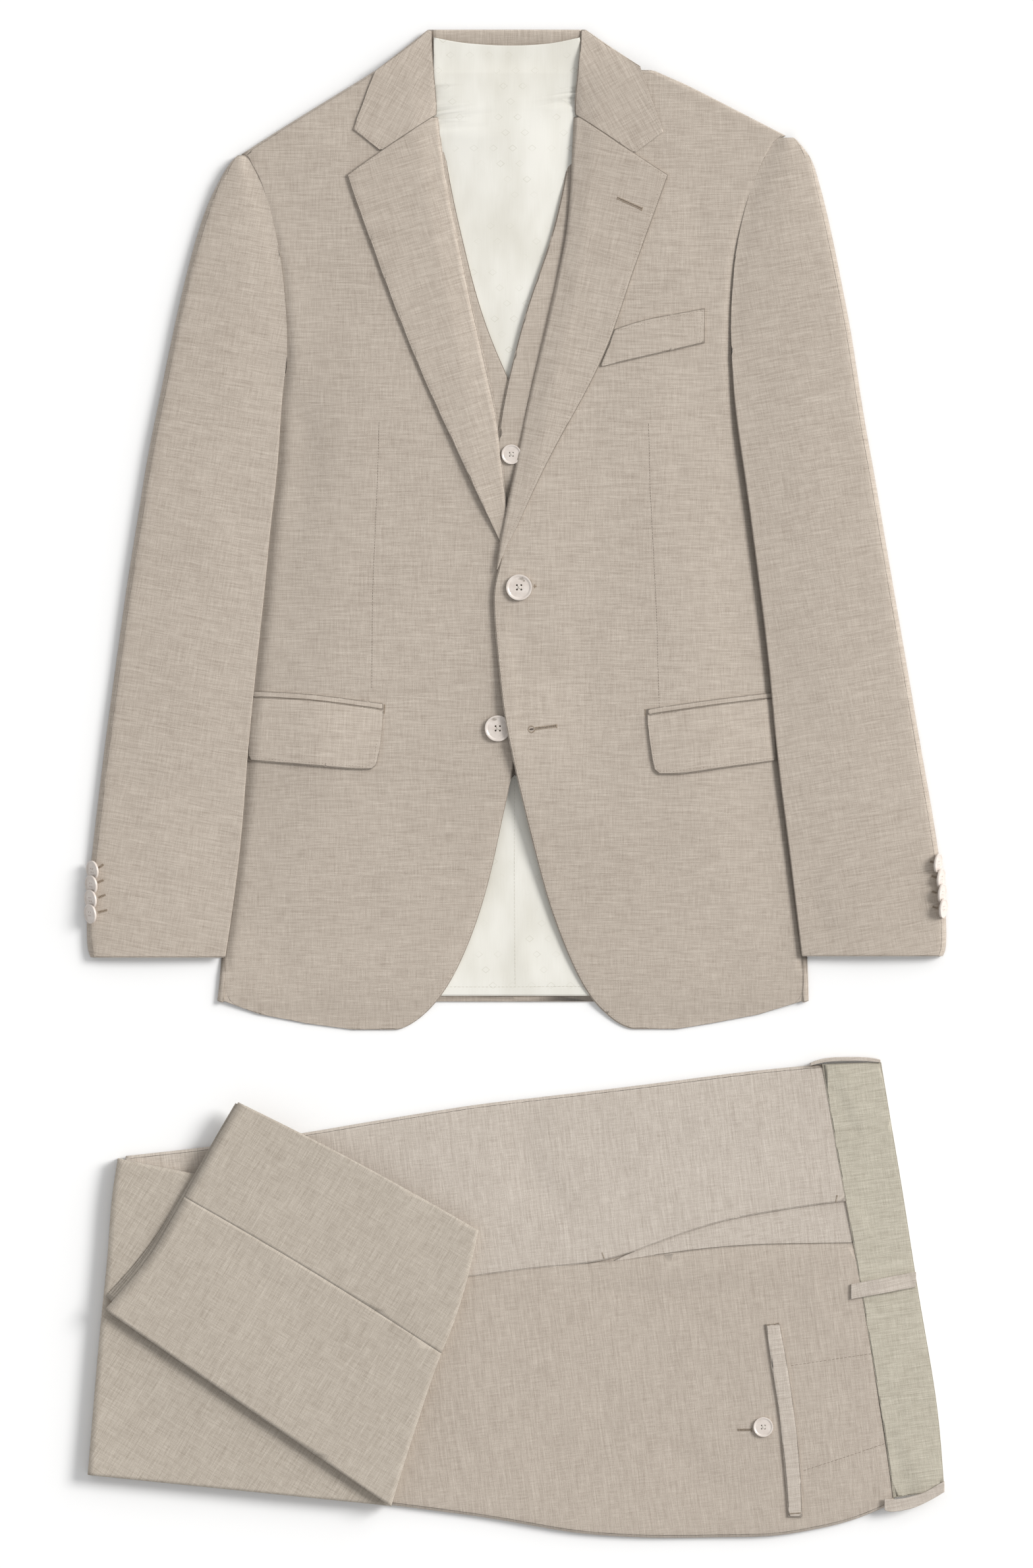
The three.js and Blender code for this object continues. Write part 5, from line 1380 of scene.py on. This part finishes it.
# The edges that are sewn, as points along them in millimetres.
LAPEL_OUTER = {
    "right": (
        (-104.3, 490.1), (-129.3, 473.8), (-131.3, 470.7), (-126.2, 456.4), (-115.5, 427.4),
        (-99.2, 381.5), (-75.2, 320.8), (-42.6, 251.4), (-31.9, 227.5), (-21.0, 204.0),
    ),
    "left": (
        (90.5, 488.1), (117.0, 471.8), (105.8, 440.1), (90.5, 397.8), (74.2, 346.8),
        (63.0, 320.8), (23.7, 249.4), (-3.0, 192.0),
    ),
}
COLLAR_OUTER = {
    "right": ((-117.0, 530.9), (-127.2, 506.4), (-104.3, 490.1)),
    "left": ((101.2, 538.0), (114.0, 504.4), (90.5, 488.1)),
}
FRONT_EDGE = (
    (-17.6, 158.0), (-18.4, 145.3), (-15.2, 107.1), (-9.9, 56.1), (-1.3, 14.3), (10.5, -36.7),
    (19.6, -72.4), (28.3, -104.0), (37.5, -126.5), (46.7, -147.4), (56.4, -163.7),
    (68.6, -177.0), (77.8, -185.1), (87.5, -189.2),
)
FLAP_EDGE = {
    "right": (
        (-105.3, 34.2), (-108.4, 15.8), (-115.0, 11.2), (-155.3, 14.3), (-181.3, 16.3),
        (-204.0, 18.1),
    ),
    "left": (
        (102.8, 37.7), (104.8, 20.4), (107.4, 10.7), (110.4, 7.7), (122.7, 7.7),
        (153.3, 11.7), (198.0, 17.8),
    ),
}
WELT_EDGE = ((143.6, 340.7), (146.1, 368.2), (74.7, 351.4), (64.5, 322.8))
DARTS = {
    "right": ((-106.0, 280.4), (-107.0, 240.1), (-109.5, 183.5), (-111.1, 143.7), (-111.6, 72.8)),
    "left": ((102.6, 278.9), (103.7, 229.9), (108.8, 133.0), (110.8, 59.6)),
}
CUFF_HOLES = {
    "right": (
        ((-323.3, -65.0), (-319.2, -62.3)), ((-323.7, -76.3), (-319.0, -74.2)),
        ((-323.3, -88.1), (-317.8, -85.8)), ((-323.5, -99.4), (-316.4, -97.6)),
    ),
    "left": (
        ((320.4, -60.0), (323.7, -61.0)), ((321.4, -71.2), (325.5, -72.5)),
        ((322.0, -83.2), (325.8, -84.5)), ((322.4, -95.0), (326.5, -96.3)),
    ),
}
LAPEL_HOLE = ((78.2, 453.3), (97.5, 444.6))
LOWER_EYE = (12.0, 42.2)
LOWER_HOLE = ((14.8, 42.7), (31.4, 44.8))
EYE_RADIUS = 2.5
EYE_STITCHES = 18
EYE_OPENING = ((10.8, 42.1), (13.4, 42.4))
# The silk that shows beside the fastened upper button, and the tacks at the pockets' ends.
UPPER_SILK = (((14.6, 151.2), (14.6, 154.6)), ((13.6, 152.9), (16.2, 152.9)))
POCKET_TACKS = {
    "right": ((-101.6, 61.4), (-101.9, 54.2)),
    "left": ((99.8, 58.0), (100.0, 52.4)),
}
chance = np.random.default_rng(STITCH_SEED)
trees = {}


def thread(name, colour):
    """Spun sewing thread, with light and dark flecks of its twist."""
    spun, tree, shader, place = new_material(name, Roughness=0.7)
    share = calculate(tree, "ADD", noise_between(tree, place, *TWIST), 0.5)
    dark = [TWIST_DARK * part for part in colour]
    light = [TWIST_LIGHT * part for part in colour]
    tree.links.new(blend_colours(tree, share, dark, light), shader.inputs["Base Color"])
    return spun


def single_stitch():
    """The pattern for every stitch: a small bead of thread, one long, one wide and one high."""
    deselect_all()
    bpy.ops.mesh.primitive_ico_sphere_add(subdivisions=1, radius=0.5)
    bead = bpy.context.active_object
    corners = np.array([vert.co[:] for vert in bead.data.vertices])
    faces = np.array([face.vertices[:] for face in bead.data.polygons])
    bpy.data.objects.remove(bead)
    return corners, faces


stitch_corners, stitch_faces = single_stitch()


def along_path(path, pitch):
    """Points at one pitch along a path, each with the direction that the path takes there."""
    path = np.array(path)
    steps = np.diff(path, axis=0)
    run = np.concatenate(((0.0,), np.cumsum(np.hypot(*steps.T))))
    at = np.arange(pitch / 2, run[-1], pitch)
    x = np.interp(at, run, path[:, 0])
    y = np.interp(at, run, path[:, 1])
    leg = np.clip(np.searchsorted(run, at) - 1, 0, len(steps) - 1)
    return np.stack((x, y, np.arctan2(steps[leg, 1], steps[leg, 0])), axis=1)


def beside(path, margin):
    """The path that runs at one margin to the left of another."""
    path = np.array(path)
    steps = np.diff(path, axis=0)
    left = np.stack((-steps[:, 1], steps[:, 0]), axis=1) / np.hypot(*steps.T)[:, None]
    meet = np.concatenate((left[:1], left[:-1] + left[1:], left[-1:]))
    meet /= np.hypot(*meet.T)[:, None]
    spread = np.concatenate(((1.0,), 1 / np.sum(meet[1:-1] * left[1:], axis=1), (1.0,)))
    return path + margin * np.minimum(spread, MITRE_LIMIT)[:, None] * meet


def join_beads(name, corners, silk):
    """Makes one object of many beads of thread, from all their corners in metres."""
    count = len(corners) // len(stitch_corners)
    faces = stitch_faces[None] + len(stitch_corners) * np.arange(count)[:, None, None]
    mesh = bpy.data.meshes.new(name)
    mesh.from_pydata(corners.tolist(), [], faces.reshape(-1, 3).tolist())
    mesh.materials.append(silk)
    mesh.shade_smooth()
    sewn = bpy.data.objects.new(name, mesh)
    scene.collection.objects.link(sewn)
    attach(sewn, "root")


def sew(name, rows, silk):
    """Makes one object of many rows of stitches. Each row has the nodes that it is sewn on, its
    path, its pitch, and a stitch's length, width and height and its turn against the path."""
    corners = []
    for nodes_under, path, (pitch, long, wide, high), turned in rows:
        for node in nodes_under:
            if node not in trees:
                trees[node] = surface_tree(shells[node])
        for x, y, direction in along_path(path, pitch):
            height = height_over([trees[node] for node in nodes_under], x, y)
            if height is None:
                continue
            angle = direction + math.radians(turned) + chance.normal(0.0, STITCH_TURN)
            size = np.array((long, wide, high)) * (1 + chance.normal(0.0, STITCH_SPREAD))
            shape = stitch_corners * size
            flat = shape[:, :2] @ np.array(
                ((math.cos(angle), math.sin(angle)), (-math.sin(angle), math.cos(angle)))
            )
            flat += (x, y)
            lift = height + STITCH_SEAT * high
            corners.append(np.column_stack((flat, shape[:, 2] + lift)))
    join_beads(name, np.concatenate(corners) * MM, silk)


def worked_hole(nodes_under, hole, gap=HOLE_GAP):
    """The silk of a worked buttonhole: a row on each side of its slit and a bar at its end."""
    path = np.array(hole)
    along = (path[1] - path[0]) / np.hypot(*(path[1] - path[0]))
    bar = np.array((-along[1], along[0])) * BAR_HALF
    return (
        (nodes_under, beside(path, gap), WORKED, 90),
        (nodes_under, beside(path, -gap), WORKED, 90),
        (nodes_under, (path[1] + bar, path[1] - bar), WORKED, 90),
    )


prick_silk = thread("prick_silk", (0.255, 0.205, 0.160))
dart_silk = thread("dart_silk", (0.150, 0.115, 0.088))
hole_silk = thread("hole_silk", (0.335, 0.262, 0.192))
# A near-black brown for the slits: painted shade in the openings of the holes.
painted_slit_shade = thread("painted_slit_shade", (0.075, 0.055, 0.042))
right_front = tuple(
    (float(np.interp(y, *side_edge("jacket_front_right", 1.0))), y) for y in range(-50, -186, -9)
)
prick_rows = []
for side, sign in INWARDS.items():
    for nodes_under, path, margin in (
        ((f"jacket_lapel_{side}", f"jacket_front_{side}"), LAPEL_OUTER[side], EDGE_MARGIN),
        ((f"jacket_collar_{side}",), COLLAR_OUTER[side], EDGE_MARGIN),
        ((f"jacket_pocket_flap_{side}",), FLAP_EDGE[side], -EDGE_MARGIN),
    ):
        prick_rows.append((nodes_under, beside(path, sign * margin), PRICK, 0))
for node, path, margin in (
    ("jacket_front_left", FRONT_EDGE, EDGE_MARGIN),
    ("jacket_front_right", right_front, -EDGE_MARGIN),
    ("jacket_chest_welt", WELT_EDGE, WELT_MARGIN),
):
    prick_rows.append(((node,), beside(path, margin), PRICK, 0))
sew("jacket_prick_stitches", prick_rows, prick_silk)
dart_rows = [((f"jacket_front_{side}",), path, DART, 0) for side, path in DARTS.items()]
sew("jacket_darts", dart_rows, dart_silk)
lapel_left = ("jacket_lapel_left",)
front_left = ("jacket_front_left",)
eye_turns = np.linspace(0.0, 2 * math.pi, EYE_STITCHES + 1)
eye_ring = np.column_stack((np.cos(eye_turns), np.sin(eye_turns))) * EYE_RADIUS + LOWER_EYE
hole_rows = [
    *worked_hole(lapel_left, LAPEL_HOLE),
    *worked_hole(front_left, LOWER_HOLE),
    (front_left, eye_ring, WORKED, 90),
    *((front_left, path, WORKED, 90) for path in UPPER_SILK),
]
for side, path in POCKET_TACKS.items():
    pocket = (f"jacket_pocket_jet_{side}", f"jacket_front_{side}")
    hole_rows.append((pocket, path, WORKED, 90))
slit_rows = [
    (lapel_left, LAPEL_HOLE, SLIT, 0),
    (front_left, LOWER_HOLE, SLIT, 0),
    (front_left, EYE_OPENING, EYE_SLIT, 0),
]
for side, holes in CUFF_HOLES.items():
    sleeve = (f"jacket_sleeve_top_{side}",)
    for hole in holes:
        hole_rows.append((sleeve, beside(hole, CUFF_GAP), WORKED, 90))
        hole_rows.append((sleeve, beside(hole, -CUFF_GAP), WORKED, 90))
        slit_rows.append((sleeve, hole, SLIT, 0))
sew("jacket_worked_holes", hole_rows, hole_silk)
sew("jacket_hole_slits", slit_rows, painted_slit_shade)


# The lining's sewing. A fine felled seam runs down the middle of the back, and where the satin is
# folded up over the hem a row of darker beads is painted shade, drawing the fold's line.
SEAM_STITCH = (3.1, 3.0, 0.30, 0.10)
LINING_SEAM_AND_FOLD_SHADE = (
    ((-1.0, 12.0), (-1.4, -70.0), (-0.6, -156.0)),
    # The fold over the hem: painted shade, drawn as a row of darker beads.
    ((-92.0, -156.9), (-20.0, -157.3), (40.0, -156.8), (92.0, -157.2)),
)
lining_silk_and_fold_shade = thread("lining_silk_and_fold_shade", (0.560, 0.530, 0.440))
seam_and_fold_rows = [(("jacket_back_lining",), path, SEAM_STITCH, 0) for path in LINING_SEAM_AND_FOLD_SHADE]
sew("lining_stitches_and_fold_shade", seam_and_fold_rows, lining_silk_and_fold_shade)


# The trousers' sewing. Two darts in brown silk shape the back above the welt, bar tacks hold the
# ends of the pocket mouth and the welt, and a worked hole takes the back pocket's button.
LEG_DART = (3.2, 2.9, 0.36, 0.16)
TACK = (0.5, 1.5, 0.42, 0.26)
BACK_DARTS = (
    ((212.5, -450.2), (276.0, -440.8)),
    ((222.2, -531.6), (255.6, -520.8), (287.8, -509.8)),
)
BACK_HOLE = ((171.4, -499.9), (182.4, -499.9))
BACK_HOLE_GAP = 0.5
leg_silk = thread("leg_silk", (0.215, 0.168, 0.130))
tack_silk = thread("tack_silk", (0.300, 0.240, 0.180))
back = ("trousers_left_back",)
side_mouth = ("trousers_left_front", "trousers_pocket_facing")
side_seam = ("trousers_left_front", "trousers_left_back")
welt = ("trousers_back_welt", "trousers_left_back")
sew("trousers_darts", [(back, path, LEG_DART, 0) for path in BACK_DARTS], leg_silk)
tack_rows = [
    (side_mouth, ((248.6, -318.0), (247.4, -324.0)), TACK, 90),
    (side_seam, ((66.6, -362.6), (68.4, -368.0)), TACK, 90),
    (welt, ((193.6, -418.9), (204.2, -417.4)), TACK, 90),
    (welt, ((210.6, -564.9), (220.6, -564.2)), TACK, 90),
    *worked_hole(back, BACK_HOLE, gap=BACK_HOLE_GAP),
]
sew("trousers_tacks", tack_rows, tack_silk)
# Painted shade in the slit of the back pocket's hole.
sew("trousers_hole_slit", [(back, BACK_HOLE, SLIT, 0)], painted_slit_shade)


# The thread that holds the buttons. Pale silk is drawn crosswise through the four holes of the
# jacket's two large buttons, the waistcoat's and the back pocket's.

# The bars' length, width, height and lift, as shares of a button's radius and thickness; the two
# large buttons have shorter bars.
CROSS_LONG = 0.62
CROSS_SHORT = 0.44
CROSS_WIDE = 0.12
CROSS_HIGH = 0.22
CROSS_LIFT = 0.26
LARGE_BUTTONS = BUTTONS[:2]
pale_silk = thread("pale_silk", (0.600, 0.560, 0.500))
cross_corners = []
for node in (*LARGE_BUTTONS, *WAISTCOAT_BUTTONS, "trousers_back_button"):
    middle, radius, thick = tops[node]
    long = CROSS_SHORT if node in LARGE_BUTTONS else CROSS_LONG
    shape = stitch_corners * (long * radius, CROSS_WIDE * radius, CROSS_HIGH * thick)
    seat = middle + Vector((0.0, 0.0, CROSS_LIFT * thick))
    for turned in (45, 135):
        turn = Matrix.Rotation(math.radians(turned), 3, "Z")
        cross_corners += [turn @ Vector(corner) + seat for corner in shape]
join_beads("button_threads", np.array(cross_corners), pale_silk)
